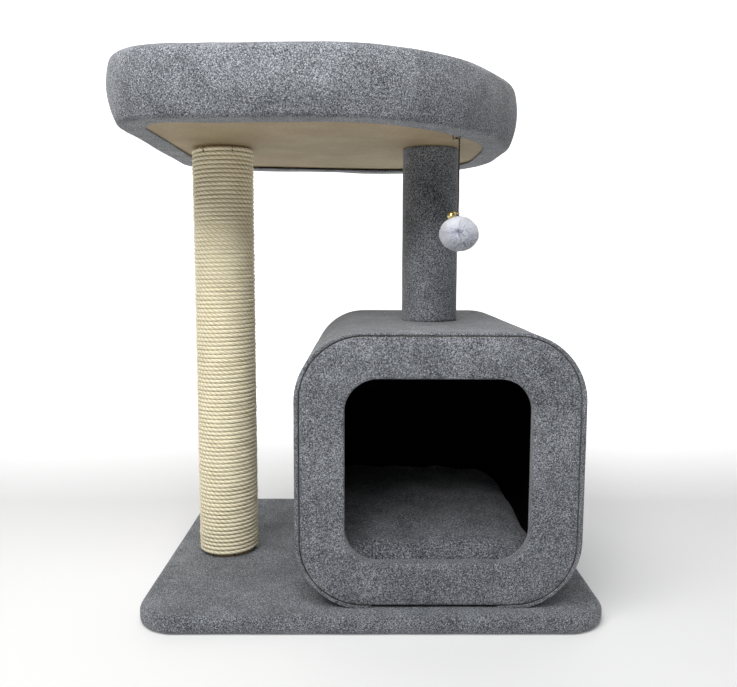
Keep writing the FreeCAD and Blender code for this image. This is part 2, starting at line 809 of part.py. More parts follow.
pompom_top = knot_top.z - pompom_rise
squeeze = FreeCAD.Matrix()
squeeze.scale(1, 1, pompom_half_height / pompom_radius)
pompom = Part.makeSphere(pompom_radius).transformGeometry(squeeze)
pompom.translate(Vector(toy_x + pompom_offset_x, toy_y, pompom_top - pompom_half_height))
ring_centre = Vector(toy_x - bell_ring_shift, toy_y, knot_top.z + bell_ring_height)
bell_centre = Vector(toy_x - bell_offset_x, toy_y, ring_centre.z - bell_drop)
dimple = Part.makeSphere(bell_radius + bell_clearance, bell_centre)
add("toy_pompom", pompom.cut(knot).cut(dimple))


# the bell is made about its own centre, with its poles clear of the loop, and then moved into place
def bell_ball(radius):
    return Part.makeSphere(radius, Vector(0, 0, 0), Vector(0, 1, 0))


loop_centre = ring_centre - Vector(bell_ring_radius, 0, 0) - bell_centre
loop = Part.makeTorus(bell_loop_radius, bell_loop_wire, loop_centre, Vector(0, 1, 0))
bell = bell_ball(bell_radius).fuse(loop).cut(bell_ball(bell_radius - bell_wall))
slot_half = bell_slot / 2
past = bell_radius + 1
slots = [
    block(-past, 0, -slot_half, slot_half, -past, past),
    block(-past, 0, -past, past, -slot_half, slot_half),
]
slot_reach = Part.makeSphere(bell_radius - 1, Vector(-bell_radius / 2, 0, 0))
for slot in slots:
    bell = bell.cut(slot.common(slot_reach))
bell.translate(bell_centre)
add("bell_shell", bell)
add("bell_ring", Part.makeTorus(bell_ring_radius, bell_ring_wire, ring_centre))

pea_drop = bell_radius - bell_wall - pea_radius - bell_clearance
add("bell_pea", Part.makeSphere(pea_radius, bell_centre - UP * pea_drop))

# ---- what the record needs -----------------------------------------------------------------------

print("nodes", len(shapes))
print("pivot", round(pivot.x, 2), round(pivot.y, 2), round(pivot.z, 2))
print("ring centre", round(ring_centre.x, 2), round(ring_centre.y, 2), round(ring_centre.z, 2))
print("bell centre", round(bell_centre.x, 2), round(bell_centre.y, 2), round(bell_centre.z, 2))
print("cushion top", floor_top + lining + cushion_lift_gap + cushion_thickness)
print("roof underside", roof_z - lining, "panel inside", front_panel_inside_y, "back", back_lining_y)
print("pad top", pad_top, "rim top", rim_top)
for name, shape in shapes.items():
    if shape.Volume <= 0:
        print("NO VOLUME", name)
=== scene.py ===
import json
import math
import random

import bmesh
import bpy
import numpy as np
from mathutils import Euler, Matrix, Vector, noise


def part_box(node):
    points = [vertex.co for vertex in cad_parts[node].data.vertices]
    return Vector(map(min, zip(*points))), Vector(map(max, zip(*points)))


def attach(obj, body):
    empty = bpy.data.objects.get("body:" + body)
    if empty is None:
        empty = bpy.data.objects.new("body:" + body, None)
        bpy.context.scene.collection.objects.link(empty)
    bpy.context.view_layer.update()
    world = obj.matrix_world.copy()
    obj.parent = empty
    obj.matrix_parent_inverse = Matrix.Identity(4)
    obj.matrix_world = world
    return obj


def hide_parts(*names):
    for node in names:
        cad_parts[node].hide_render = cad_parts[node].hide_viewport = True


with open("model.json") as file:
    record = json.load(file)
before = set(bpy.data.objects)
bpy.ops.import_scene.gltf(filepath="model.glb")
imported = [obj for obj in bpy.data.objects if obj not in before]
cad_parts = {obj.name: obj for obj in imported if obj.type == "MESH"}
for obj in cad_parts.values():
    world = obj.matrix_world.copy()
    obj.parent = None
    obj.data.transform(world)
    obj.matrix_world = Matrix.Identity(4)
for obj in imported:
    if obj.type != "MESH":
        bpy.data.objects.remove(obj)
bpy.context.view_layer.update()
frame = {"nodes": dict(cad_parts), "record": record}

bpy.ops.object.select_all(action="DESELECT")


# ---- camera --------------------------------------------------------------------------------------
# A camera about 1 m in front of the cat tree, a little above half its height and tipped down.

camera_place = (-0.0101, -1.0174, 0.4216)
camera_tip = math.radians(6.226)
camera_turn = math.radians(0.386)
camera_roll = math.radians(0.184)

bpy.ops.object.camera_add(location=camera_place)
camera = bpy.context.object
camera.rotation_euler = (
    Euler((math.pi / 2 - camera_tip, 0, -camera_turn)).to_matrix()
    @ Euler((0, 0, camera_roll)).to_matrix()
).to_euler()
camera.data.lens = 36.24
camera.data.sensor_width = 36.0
bpy.context.scene.camera = camera


# ---- toy cord ------------------------------------------------------------------------------------
# Thin round elastic, black, knotted where it leaves the perch and again round the bell's ring. The
# pompom's weight pulls it straight, with only a slight set left from how it was packed.


def clear_selection():
    bpy.ops.object.select_all(action="DESELECT")


def curve_through(name, points, radius):
    """Smooth round cord whose NURBS control points are given, in metres."""
    curve = bpy.data.curves.new(name, "CURVE")
    curve.dimensions = "3D"
    curve.bevel_depth = radius
    curve.bevel_resolution = 4
    curve.resolution_u = 12
    curve.use_fill_caps = True
    spline = curve.splines.new("NURBS")
    spline.points.add(len(points) - 1)
    for spot, place in zip(spline.points, points):
        spot.co = (*place, 1.0)
    spline.order_u = 3
    spline.use_endpoint_u = True
    piece = bpy.data.objects.new(name, curve)
    bpy.context.scene.collection.objects.link(piece)
    return piece


cord_diameter = 0.0016
cord_low, cord_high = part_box("toy_cord")
cord_x = (cord_low.x + cord_high.x) / 2
cord_y = (cord_low.y + cord_high.y) / 2
cord_route = [
    (cord_x, cord_y, cord_high.z),
    (cord_x + 0.0001, cord_y, cord_high.z - 0.012),
    (cord_x - 0.0002, cord_y, cord_high.z - 0.038),
    (cord_x + 0.0002, cord_y, cord_low.z + 0.020),
    (cord_x - 0.0002, cord_y, cord_low.z + 0.007),
    (cord_x, cord_y, cord_low.z),
]
toy_cord = curve_through("elastic_cord", cord_route, cord_diameter / 2)


# ---- toy cord's held end -------------------------------------------------------------------------
# The end of the same elastic, stapled along the edge of the folded felt. It bends down to the knot
# that the toy swings from.

tail_low, tail_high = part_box("toy_cord_tail")
tail_radius = cord_diameter / 2
tail_level = tail_high.z - tail_radius
tail_route = [
    (tail_low.x + 0.0007, tail_low.y + 0.0004, tail_level),
    (cord_x - 0.0025, cord_y - 0.0038, tail_level),
    (cord_x, cord_y, tail_level),
    (cord_x, cord_y, tail_level - 0.0025),
    (cord_x, cord_y, tail_low.z),
]
held_cord = curve_through("held_cord_end", tail_route, tail_radius)


def ball(name, centre, radii, rings=20):
    """Smooth round lump, wider or flatter along each axis as asked."""
    clear_selection()
    bpy.ops.mesh.primitive_uv_sphere_add(
        segments=rings * 2, ring_count=rings, radius=1.0, location=centre
    )
    piece = bpy.context.object
    piece.name = name
    piece.data.name = name
    piece.scale = radii
    bpy.ops.object.transform_apply(location=True, rotation=True, scale=True)
    bpy.ops.object.shade_smooth()
    return piece


def middle(node):
    low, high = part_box(node)
    return (low + high) / 2


def half_size(node):
    low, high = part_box(node)
    return (high - low) / 2


top_knot = ball("top_knot", middle("toy_top_knot"), half_size("toy_top_knot"), rings=10)

# the lower knot is two turns of the elastic pulled tight, one over the other
knot_centre = middle("toy_lower_knot")
clear_selection()
bpy.ops.mesh.primitive_torus_add(
    location=knot_centre + Vector((0.0004, 0, 0.0004)),
    rotation=(0.3, 0.55, 0),
    major_radius=0.00085,
    minor_radius=0.0008,
    major_segments=20,
    minor_segments=10,
)
lower_knot = bpy.context.object
lower_knot.name = "lower_knot"
bpy.ops.object.mode_set(mode="EDIT")
bpy.ops.mesh.primitive_torus_add(
    location=knot_centre + Vector((-0.0003, 0, -0.0004)),
    rotation=(-0.4, -0.35, 0),
    major_radius=0.0008,
    minor_radius=0.00075,
    major_segments=20,
    minor_segments=10,
)
bpy.ops.object.mode_set(mode="OBJECT")
bpy.ops.object.transform_apply(location=True, rotation=True, scale=True)
bpy.ops.object.shade_smooth()


def linear(hex_colour):
    """An sRGB colour such as "#8C8E93" as linear red, green, blue and alpha."""
    channels = []
    for start in (1, 3, 5):
        value = int(hex_colour[start:start + 2], 16) / 255
        channels.append(value / 12.92 if value <= 0.04045 else ((value + 0.055) / 1.055) ** 2.4)
    return (*channels, 1.0)


def add_node(tree, kind, links=(), **settings):
    """Add a shader node. links pairs an input's name or number with a value or another output."""
    made = tree.nodes.new(kind)
    for name, value in settings.items():
        setattr(made, name, value)
    for name, value in links:
        if isinstance(value, bpy.types.NodeSocket):
            tree.links.new(value, made.inputs[name])
        else:
            made.inputs[name].default_value = value
    return made


def new_material(name):
    """A material with one Principled shader, and that shader."""
    material = bpy.data.materials.new(name)
    material.use_nodes = True
    return material, material.node_tree, material.node_tree.nodes["Principled BSDF"]


def set_ramp(ramp, stops):
    """Give a Color Ramp its stops, each a place from 0 to 1 and an sRGB hex colour."""
    while len(ramp.color_ramp.elements) < len(stops):
        ramp.color_ramp.elements.new(0.5)
    for element, (place, colour) in zip(ramp.color_ramp.elements, stops):
        element.position = place
        element.color = linear(colour)


def wear(piece, material):
    piece.data.materials.clear()
    piece.data.materials.append(material)


# Braided polyester over rubber: matt black, with the braid just catching the light.
elastic, tree, shader = new_material("black_braided_elastic")
place = add_node(tree, "ShaderNodeTexCoord")
braid_size = 0.0009
braid = add_node(
    tree,
    "ShaderNodeTexVoronoi",
    [("Vector", place.outputs["Object"]), ("Scale", 1 / braid_size)],
)
tint = add_node(tree, "ShaderNodeValToRGB", [("Fac", braid.outputs["Distance"])])
set_ramp(tint, [(0.0, "#151516"), (0.8, "#060607")])
tree.links.new(tint.outputs["Color"], shader.inputs["Base Color"])
relief = add_node(
    tree,
    "ShaderNodeBump",
    [("Height", braid.outputs["Distance"]), ("Strength", 0.5), ("Distance", 0.0002)],
    invert=True,
)
tree.links.new(relief.outputs["Normal"], shader.inputs["Normal"])
shader.inputs["Roughness"].default_value = 0.7
shader.inputs["IOR"].default_value = 1.5
for piece in (toy_cord, held_cord, top_knot, lower_knot):
    wear(piece, elastic)
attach(toy_cord, "toy")
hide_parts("toy_cord")
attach(held_cord, "root")
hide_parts("toy_cord_tail")
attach(top_knot, "toy_knot")
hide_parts("toy_top_knot")
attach(lower_knot, "toy")
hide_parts("toy_lower_knot")


# ---- floor, light and background -----------------------------------------------------------------
# A white paper sweep: level under the cat tree and curved up behind it, glowing by itself (painted
# light) more and more towards the back. The light is a large softbox overhead, a narrow key light on
# the perch, a weak fill in front, and the glow of the studio.

clear_selection()
sweep_width = 16.0
sweep_front = -7.0
sweep_back = 4.0
sweep_rise = 6.0
sweep_curve = 1.8


def select_back_edges(highest):
    """Select the sweep's edges that lie along its back and are no higher than this."""
    bpy.ops.mesh.select_all(action="DESELECT")
    mesh = bmesh.from_edit_mesh(floor.data)
    for edge in mesh.edges:
        ends = [vertex.co for vertex in edge.verts]
        edge.select_set(all(end.y > sweep_back - 0.1 and end.z < highest for end in ends))
    bmesh.update_edit_mesh(floor.data)


bpy.ops.mesh.primitive_plane_add(size=1.0, location=(0, (sweep_front + sweep_back) / 2, 0))
floor = bpy.context.object
floor.name = "paper_sweep"
floor.scale = (sweep_width, sweep_back - sweep_front, 1.0)
bpy.ops.object.transform_apply(location=True, rotation=True, scale=True)
bpy.ops.object.mode_set(mode="EDIT")
bpy.ops.mesh.select_mode(type="EDGE")
select_back_edges(sweep_rise)
bpy.ops.mesh.extrude_region_move(TRANSFORM_OT_translate={"value": (0, 0, sweep_rise)})
select_back_edges(0.1)
bpy.ops.mesh.bevel(offset=sweep_curve, segments=16, affect="EDGES")
bpy.ops.mesh.select_all(action="SELECT")
bpy.ops.mesh.normals_make_consistent(inside=False)
bpy.ops.object.mode_set(mode="OBJECT")
bpy.ops.object.shade_smooth()
paper, tree, shader = new_material("white_paper_sweep")
shader.inputs["Base Color"].default_value = linear("#EDEDED")
shader.inputs["Roughness"].default_value = 1.0
shader.inputs["Specular IOR Level"].default_value = 0.0
# the sweep glows by itself, painted light that is faint under the tree and grows with the distance
# behind it
place = add_node(tree, "ShaderNodeTexCoord").outputs["Object"]
split = add_node(tree, "ShaderNodeSeparateXYZ", [("Vector", place)])
painted_glow = add_node(
    tree,
    "ShaderNodeMapRange",
    [("Value", split.outputs["Y"]), ("From Min", 0.26), ("From Max", 1.1), ("To Min", 0.10),
     ("To Max", 0.85)],
)
shader.inputs["Emission Color"].default_value = (1.0, 1.0, 1.0, 1.0)
tree.links.new(painted_glow.outputs["Result"], shader.inputs["Emission Strength"])
wear(floor, paper)

world = bpy.data.worlds.new("studio")
bpy.context.scene.world = world
world.use_nodes = True
background = world.node_tree.nodes["Background"]
background.inputs["Color"].default_value = (1.0, 1.0, 1.0, 1.0)
background.inputs["Strength"].default_value = 0.16
perch_aim = (-0.05, -0.2, 0.62)


def softbox(name, place, aim, size, power):
    """Rectangular light at a place, turned to its aim, with its power in watts."""
    bpy.ops.object.light_add(type="AREA", location=place)
    lamp = bpy.context.object
    lamp.name = name
    lamp.data.shape = "RECTANGLE"
    lamp.data.size = size[0]
    lamp.data.size_y = size[1]
    lamp.data.energy = power
    lamp.rotation_euler = (Vector(aim) - Vector(place)).to_track_quat("-Z", "Y").to_euler()
    return lamp


key = softbox("key_softbox", (-0.5, -1.3, 1.3), perch_aim, (0.4, 0.4), 0.35)
key.data.spread = math.radians(28)
softbox("overhead_softbox", (-0.3, -0.85, 1.5), (0.0, 0.0, 0.45), (1.4, 1.0), 25.0)
softbox("front_fill", (-0.9, -2.4, 1.6), (0.0, 0.0, 0.55), (1.6, 1.2), 3.0)
bpy.context.scene.view_settings.view_transform = "Standard"


# ---- base cover ----------------------------------------------------------------------------------
# Grey needled felt pulled over the base board and folded under it. The pull leaves soft edges, a
# touch uneven, and the fold leaves a shallow recess underneath for the backing sheet.

felt = 0.002


def select_only(piece, kind, test):
    """In edit mode, select just the faces, edges or vertices that pass a test."""
    modes = {"faces": "FACE", "edges": "EDGE", "verts": "VERT"}
    bpy.ops.mesh.select_mode(type=modes[kind])
    bpy.ops.mesh.select_all(action="DESELECT")
    mesh = bmesh.from_edit_mesh(piece.data)
    for element in getattr(mesh, kind):
        if test(element):
            element.select_set(True)
    bmesh.update_edit_mesh(piece.data)


def runs_along(axis):
    """Test for an edge that runs along one axis: 0 is X, 1 is Y and 2 is Z."""
    def test(edge):
        way = (edge.verts[1].co - edge.verts[0].co).normalized()
        return abs(way[axis]) > 0.999
    return test


def lies_at(axis, value, slack=1e-5):
    """Test for an element whose every corner has the same place along an axis."""
    def test(element):
        corners = element.verts if hasattr(element, "verts") else [element]
        return all(abs(corner.co[axis] - value) < slack for corner in corners)
    return test


def apply_modifiers(piece):
    clear_selection()
    piece.select_set(True)
    bpy.context.view_layer.objects.active = piece
    for modifier in list(piece.modifiers):
        bpy.ops.object.modifier_apply(modifier=modifier.name)


def add_modifier(piece, kind, **settings):
    modifier = piece.modifiers.new(kind.lower(), kind)
    for name, value in settings.items():
        setattr(modifier, name, value)
    return modifier


def rounded_box(name, low, high, axis, radius, segments=12):
    """Box whose four edges along one axis are rounded. It is left in edit mode."""
    clear_selection()
    low = Vector(low)
    high = Vector(high)
    bpy.ops.mesh.primitive_cube_add(size=1.0, location=(low + high) / 2, scale=high - low)
    piece = bpy.context.object
    piece.name = name
    piece.data.name = name
    bpy.ops.object.transform_apply(location=True, rotation=True, scale=True)
    bpy.ops.object.mode_set(mode="EDIT")
    select_only(piece, "edges", runs_along(axis))
    bpy.ops.mesh.bevel(offset=radius, segments=segments, affect="EDGES")
    return piece


def bevel_level(piece, axis, value, width, segments=4):
    """Round the edges that lie at one place along an axis."""
    select_only(piece, "edges", lies_at(axis, value))
    bpy.ops.mesh.bevel(offset=width, segments=segments, affect="EDGES")


def soft_noise(name, size, depth=2):
    """Procedural cloud pattern for a displacement, its lumps about a size in metres across."""
    texture = bpy.data.textures.new(name, "CLOUDS")
    texture.noise_scale = size
    texture.noise_depth = depth
    return texture


def uneven(piece, texture, height):
    """Push a piece's surface in and out by a pattern."""
    add_modifier(
        piece, "DISPLACE", texture=texture, texture_coords="LOCAL", strength=height, mid_level=0.5
    )


base_corner = 0.050
base_edge = 0.007
base_foot = 0.004
base_fold = 0.034
base_rest = 0.0003
base_low, base_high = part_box("base_cover")
base_cover = rounded_box("felt_base_cover", base_low, base_high, 2, base_corner)
bevel_level(base_cover, 2, base_high.z, base_edge, 5)
bevel_level(base_cover, 2, base_low.z, base_foot, 3)
select_only(base_cover, "faces", lies_at(2, base_low.z))
bpy.ops.mesh.inset(thickness=base_fold - base_foot)
bpy.ops.mesh.extrude_region_move(TRANSFORM_OT_translate={"value": (0, 0, felt)})
bpy.ops.object.mode_set(mode="OBJECT")
felt_waves = soft_noise("felt_waves", 0.07)
add_modifier(base_cover, "REMESH", mode="VOXEL", voxel_size=0.0035)
add_modifier(base_cover, "SMOOTH", factor=0.5, iterations=4)
uneven(base_cover, felt_waves, 0.0012)
apply_modifiers(base_cover)
# the fold under the board lies flat on the floor
for vertex in base_cover.data.vertices:
    vertex.co.z = max(vertex.co.z, base_rest)
bpy.ops.object.shade_smooth()


def felt_material(name, dark, ground, pale, clump=0.0014, fibre=0.0007, cloud=0.03):
    """Needled felt: matted fibres of several greys. Small clumps give the mottled heather, single
    fibres the finer specks, and wide clouds a slow drift; the clumps lift the surface a little."""
    material, tree, shader = new_material(name)
    place = add_node(tree, "ShaderNodeTexCoord").outputs["Object"]
    clumps = add_node(
        tree,
        "ShaderNodeTexNoise",
        [("Vector", place), ("Scale", 1 / clump), ("Detail", 3.0), ("Roughness", 0.62),
         ("Distortion", 0.6)],
    )
    fibres = add_node(
        tree,
        "ShaderNodeTexNoise",
        [("Vector", place), ("Scale", 1 / fibre), ("Detail", 2.0), ("Roughness", 0.6),
         ("Distortion", 1.5)],
    )
    drift = add_node(
        tree,
        "ShaderNodeTexNoise",
        [("Vector", place), ("Scale", 1 / cloud), ("Detail", 3.0)],
    )
    blend = add_node(
        tree,
        "ShaderNodeMix",
        [("Factor", 0.5), ("A", clumps.outputs["Fac"]), ("B", fibres.outputs["Fac"])],
        data_type="FLOAT",
    )
    shade = add_node(
        tree,
        "ShaderNodeMix",
        [("Factor", 0.08), ("A", blend.outputs[0]), ("B", drift.outputs["Fac"])],
        data_type="FLOAT",
    )
    ramp = add_node(tree, "ShaderNodeValToRGB", [("Fac", shade.outputs[0])])
    set_ramp(ramp, [(0.40, dark), (0.5, ground), (0.61, pale)])
    tree.links.new(ramp.outputs["Color"], shader.inputs["Base Color"])
    relief = add_node(
        tree,
        "ShaderNodeBump",
        [("Height", blend.outputs[0]), ("Strength", 0.5), ("Distance", 0.001)],
    )
    tree.links.new(relief.outputs["Normal"], shader.inputs["Normal"])
    shader.inputs["Roughness"].default_value = 0.95
    shader.inputs["IOR"].default_value = 1.45
    shader.inputs["Specular IOR Level"].default_value = 0.15
    shader.inputs["Sheen Weight"].default_value = 0.22
    shader.inputs["Sheen Roughness"].default_value = 0.5
    return material


grey_felt = felt_material("grey_needled_felt", "#1E2023", "#5D6065", "#BFC2C8")
wear(base_cover, grey_felt)
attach(base_cover, "root")
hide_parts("base_cover")


# ---- sisal rope ----------------------------------------------------------------------------------
# One three-strand sisal rope wound round the cardboard tube and pulled tight, turn on turn. Each
# turn is a ridge, and the strands cross it on a slant.

rope_low, rope_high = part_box("sisal_rope")
rope_centre = (rope_low + rope_high) / 2
post_radius = (rope_high.x - rope_low.x) / 2
rope_radius = 0.00275
strand_rise = 0.00030
strands = 3
strand_lay = 0.021
rope_sides = 8
rope_steps = 96
rope_turns = round((rope_high.z - rope_low.z) / (2 * rope_radius))
rope_pitch = (rope_high.z - rope_low.z) / rope_turns
coil_radius = post_radius - rope_radius

clear_selection()
bpy.ops.mesh.primitive_circle_add(
    vertices=rope_sides,
    radius=rope_radius,
    location=(coil_radius, 0, rope_low.z + rope_radius),
    rotation=(math.pi / 2, 0, 0),
)
rope = bpy.context.object
rope.name = "wound_sisal_rope"
rope.data.name = rope.name
bpy.ops.object.transform_apply(location=True, rotation=True, scale=True)
add_modifier(
    rope,
    "SCREW",
    axis="Z",
    angle=2 * math.pi,
    screw_offset=rope_pitch,
    iterations=rope_turns - 1,
    steps=rope_steps,
    render_steps=rope_steps,
    use_smooth_shade=True,
)
apply_modifiers(rope)

# give each point its distance along the rope and its angle round it, then raise the strands
count = len(rope.data.vertices)
points = np.empty(count * 3)
rope.data.vertices.foreach_get("co", points)
points = points.reshape(-1, 3)
step_of = np.arange(count) // rope_sides
turn = step_of / rope_steps
heading = np.arctan2(points[:, 1], points[:, 0])
core_z = rope_low.z + rope_radius + turn * rope_pitch
across = np.hypot(points[:, 0], points[:, 1]) - coil_radius
around = np.arctan2(points[:, 2] - core_z, across)
run = turn * 2 * math.pi * coil_radius
random.seed(7)
drift = np.interp(
    turn, np.arange(rope_turns + 1), [random.uniform(-0.9, 0.9) for _ in range(rope_turns + 1)]
)
phase = strands * (around + 2 * math.pi * run / strand_lay) + drift
rise = strand_rise * (np.cos(phase) - 0.3)
loose = 0.00016 * np.sin(turn * 2 * math.pi * 1.37) + 0.00022 * np.sin(turn * 5.1 + heading)
reach = rope_radius + rise
radial = coil_radius + loose + reach * np.cos(around)
points[:, 0] = radial * np.cos(heading)
points[:, 1] = radial * np.sin(heading)
points[:, 2] = core_z + reach * np.sin(around)
points += np.array([rope_centre.x, rope_centre.y, 0])
rope.data.vertices.foreach_set("co", points.ravel())
for name, values in (("along_rope", run), ("round_rope", around), ("strand_phase", phase)):
    attribute = rope.data.attributes.new(name, "FLOAT", "POINT")
    attribute.data.foreach_set("value", values.astype(np.float32))
rope.data.update()

bpy.ops.object.mode_set(mode="EDIT")
bpy.ops.mesh.select_mode(type="EDGE")
bpy.ops.mesh.select_all(action="DESELECT")
bpy.ops.mesh.select_non_manifold()
bpy.ops.mesh.fill()
bpy.ops.mesh.select_all(action="SELECT")
bpy.ops.mesh.normals_make_consistent(inside=False)
bpy.ops.object.mode_set(mode="OBJECT")

# Bleached sisal: dull cream fibre, shadowed brown between the strands, with fine pale hairs.
sisal, tree, shader = new_material("twisted_sisal_rope")
place = add_node(tree, "ShaderNodeTexCoord").outputs["Object"]
strand = add_node(tree, "ShaderNodeAttribute", attribute_name="strand_phase")
fibre_size = 0.0005
stain_size = 0.02
hollow = add_node(
    tree, "ShaderNodeMath", [(0, strand.outputs["Fac"])], operation="COSINE"
)
lift = add_node(
    tree,
    "ShaderNodeMapRange",
    [("Value", hollow.outputs[0]), ("From Min", -1.0), ("From Max", 1.0)],
)
hairs = add_node(
    tree,
    "ShaderNodeTexNoise",
    [("Vector", place), ("Scale", 1 / fibre_size), ("Detail", 2.0), ("Distortion", 1.2)],
)
stain = add_node(
    tree,
    "ShaderNodeTexNoise",
    [("Vector", place), ("Scale", 1 / stain_size), ("Detail", 3.0)],
)
shade = add_node(
    tree,
    "ShaderNodeMix",
    [("Factor", 0.4), ("A", lift.outputs[0]), ("B", hairs.outputs["Fac"])],
    data_type="FLOAT",
)
mottle = add_node(
    tree,
    "ShaderNodeMix",
    [("Factor", 0.25), ("A", shade.outputs[0]), ("B", stain.outputs["Fac"])],
    data_type="FLOAT",
)
ramp = add_node(tree, "ShaderNodeValToRGB", [("Fac", mottle.outputs[0])])
set_ramp(ramp, [(0.12, "#B8A47A"), (0.34, "#EFE3BF"), (0.66, "#FCF5DE")])
tree.links.new(ramp.outputs["Color"], shader.inputs["Base Color"])
relief = add_node(
    tree,
    "ShaderNodeBump",
    [("Height", hairs.outputs["Fac"]), ("Strength", 0.6), ("Distance", 0.0005)],
)
tree.links.new(relief.outputs["Normal"], shader.inputs["Normal"])
shader.inputs["Roughness"].default_value = 0.85
shader.inputs["IOR"].default_value = 1.5
shader.inputs["Specular IOR Level"].default_value = 0.25
wear(rope, sisal)
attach(rope, "root")
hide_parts("sisal_rope")


# ---- felt post cover -----------------------------------------------------------------------------
# A felt sleeve glued round the second cardboard tube. Its edges meet in a seam at the back, and its
# cut top stops just short of the perch.

sleeve_low, sleeve_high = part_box("felt_post_cover")
sleeve_centre = (sleeve_low + sleeve_high) / 2
sleeve_radius = (sleeve_high.x - sleeve_low.x) / 2
sleeve_edge = 0.0012
seam_depth = 0.0012
clear_selection()
bpy.ops.mesh.primitive_cylinder_add(
    vertices=96,
    radius=sleeve_radius,
    depth=sleeve_high.z - sleeve_low.z,
    location=sleeve_centre,
)
sleeve = bpy.context.object
sleeve.name = "felt_post_sleeve"
sleeve.data.name = sleeve.name
bpy.ops.object.transform_apply(location=True, rotation=True, scale=True)
bpy.ops.object.mode_set(mode="EDIT")
bevel_level(sleeve, 2, sleeve_high.z, sleeve_edge, 3)
select_only(sleeve, "edges", runs_along(2))
bpy.ops.mesh.subdivide(number_cuts=60)


def at_seam(vertex):
    return abs(vertex.co.x - sleeve_centre.x) < 1e-5 and vertex.co.y > sleeve_centre.y


select_only(sleeve, "verts", at_seam)
bpy.ops.transform.translate(value=(0, -seam_depth, 0))
bpy.ops.object.mode_set(mode="OBJECT")
uneven(sleeve, felt_waves, 0.0008)
apply_modifiers(sleeve)
bpy.ops.object.shade_smooth()
wear(sleeve, grey_felt)
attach(sleeve, "root")
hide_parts("felt_post_cover")


# ---- condo shell cover ---------------------------------------------------------------------------
# Felt round the condo's bent shell. It is folded over the shell's front and back edges, which makes
# the narrow raised rim round each end.

condo_corner = 0.080
rim_width = 0.0054
rim_top_width = 0.0034
rim_foot_width = 0.0024
rim_round = 0.0017
rim_depth = 0.018
shell_low, shell_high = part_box("condo_shell_cover")
shell = rounded_box("felt_condo_cover", shell_low, shell_high, 1, condo_corner, 20)
for end_y, inward in ((shell_low.y, rim_depth), (shell_high.y, -rim_depth)):
    select_only(shell, "faces", lies_at(1, end_y))
    bpy.ops.mesh.inset(thickness=rim_width)
    # the panels sit tight against the shell at the top and the foot, so the rim is narrower there
    hole_foot = shell_low.z + rim_foot_width
    stretch = (shell_high.z - rim_top_width - hole_foot) / (shell_high.z - shell_low.z - 2 * rim_width)
    mesh = bmesh.from_edit_mesh(shell.data)
    for vertex in mesh.verts:
        if vertex.select:
            vertex.co.z = hole_foot + (vertex.co.z - shell_low.z - rim_width) * stretch
    bmesh.update_edit_mesh(shell.data)
    bpy.ops.mesh.extrude_region_move(TRANSFORM_OT_translate={"value": (0, inward, 0)})
    bpy.ops.mesh.delete(type="FACE")
    bevel_level(shell, 1, end_y, rim_round, 4)


def spans_depth(edge):
    return abs(edge.verts[0].co.y - edge.verts[1].co.y) > 0.3


select_only(shell, "edges", spans_depth)
bpy.ops.mesh.subdivide(number_cuts=30)


def runs_under_front(edge):
    one, two = edge.verts[0].co, edge.verts[1].co
    return abs(one.x - two.x) > 0.1 and max(one.z, two.z) < shell_low.z + 0.01


select_only(shell, "edges", runs_under_front)
bpy.ops.mesh.subdivide(number_cuts=48)
bpy.ops.object.mode_set(mode="OBJECT")
add_modifier(shell, "SOLIDIFY", thickness=0.0012, offset=-1.0)
uneven(shell, felt_waves, 0.0008)
apply_modifiers(shell)

# the rim is cut back under the mouth, where the panel's foot shows with a dark slot below it
slot_left = -0.002
slot_right = 0.147
slot_depth = 0.016
slot_height = 0.0045
slot_end = 0.004
for vertex in shell.data.vertices:
    spot = vertex.co
    into = min(spot.x - slot_left, slot_right - spot.x)
    if into > 0 and spot.z < shell_low.z + slot_height and spot.y < shell_low.y + slot_depth:
        back = slot_depth * min(1.0, into / slot_end)
        spot.y = max(spot.y, shell_low.y + back + 0.05 * (spot.y - shell_low.y))
bpy.ops.object.shade_smooth_by_angle(angle=math.radians(50))
wear(shell, grey_felt)
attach(shell, "root")
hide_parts("condo_shell_cover")


# ---- condo front and back covers -----------------------------------------------------------------
# Each end panel is wrapped in its own felt and pressed into the shell, so that a groove runs round
# it inside the rim. The front one is cut out for the mouth, and its felt turns into it.

mouth_corner = 0.039
mouth_size = (0.215, 0.216)
mouth_shift = -0.0013
panel_corner = 0.0745
panel_side = 0.0061
panel_crown = 0.0041
panel_foot = 0.0031


def rounded_frame(name, front, back, centre, outer, outer_corner, hole, inner, inner_corner):
    """Upright panel with a rounded outline and a rounded opening. It is left in edit mode."""
    clear_selection()
    bpy.ops.mesh.primitive_plane_add(
        size=1.0, location=(centre[0], front, centre[1]), rotation=(math.pi / 2, 0, 0)
    )
    piece = bpy.context.object
    piece.name = name
    piece.data.name = name
    piece.scale = (outer[0], outer[1], 1)
    bpy.ops.object.transform_apply(location=True, rotation=True, scale=True)
    bpy.ops.object.mode_set(mode="EDIT")
    bpy.ops.mesh.select_all(action="SELECT")
    bpy.ops.mesh.bevel(offset=outer_corner, segments=20, affect="VERTICES")
    bpy.ops.mesh.select_all(action="DESELECT")
    bpy.ops.mesh.primitive_plane_add(
        size=1.0, location=(hole[0], front, hole[1]), rotation=(math.pi / 2, 0, 0)
    )
    bpy.ops.transform.resize(value=(inner[0], 1, inner[1]))
    bpy.ops.mesh.bevel(offset=inner_corner, segments=20, affect="VERTICES")
    bpy.ops.mesh.select_all(action="SELECT")
    bpy.ops.mesh.delete(type="ONLY_FACE")
    bpy.ops.mesh.select_all(action="SELECT")
    bpy.ops.mesh.bridge_edge_loops()
    bpy.ops.mesh.select_all(action="SELECT")
    bpy.ops.mesh.extrude_region_move(TRANSFORM_OT_translate={"value": (0, back - front, 0)})
    bpy.ops.mesh.select_all(action="SELECT")
    bpy.ops.mesh.normals_make_consistent(inside=False)
    return piece


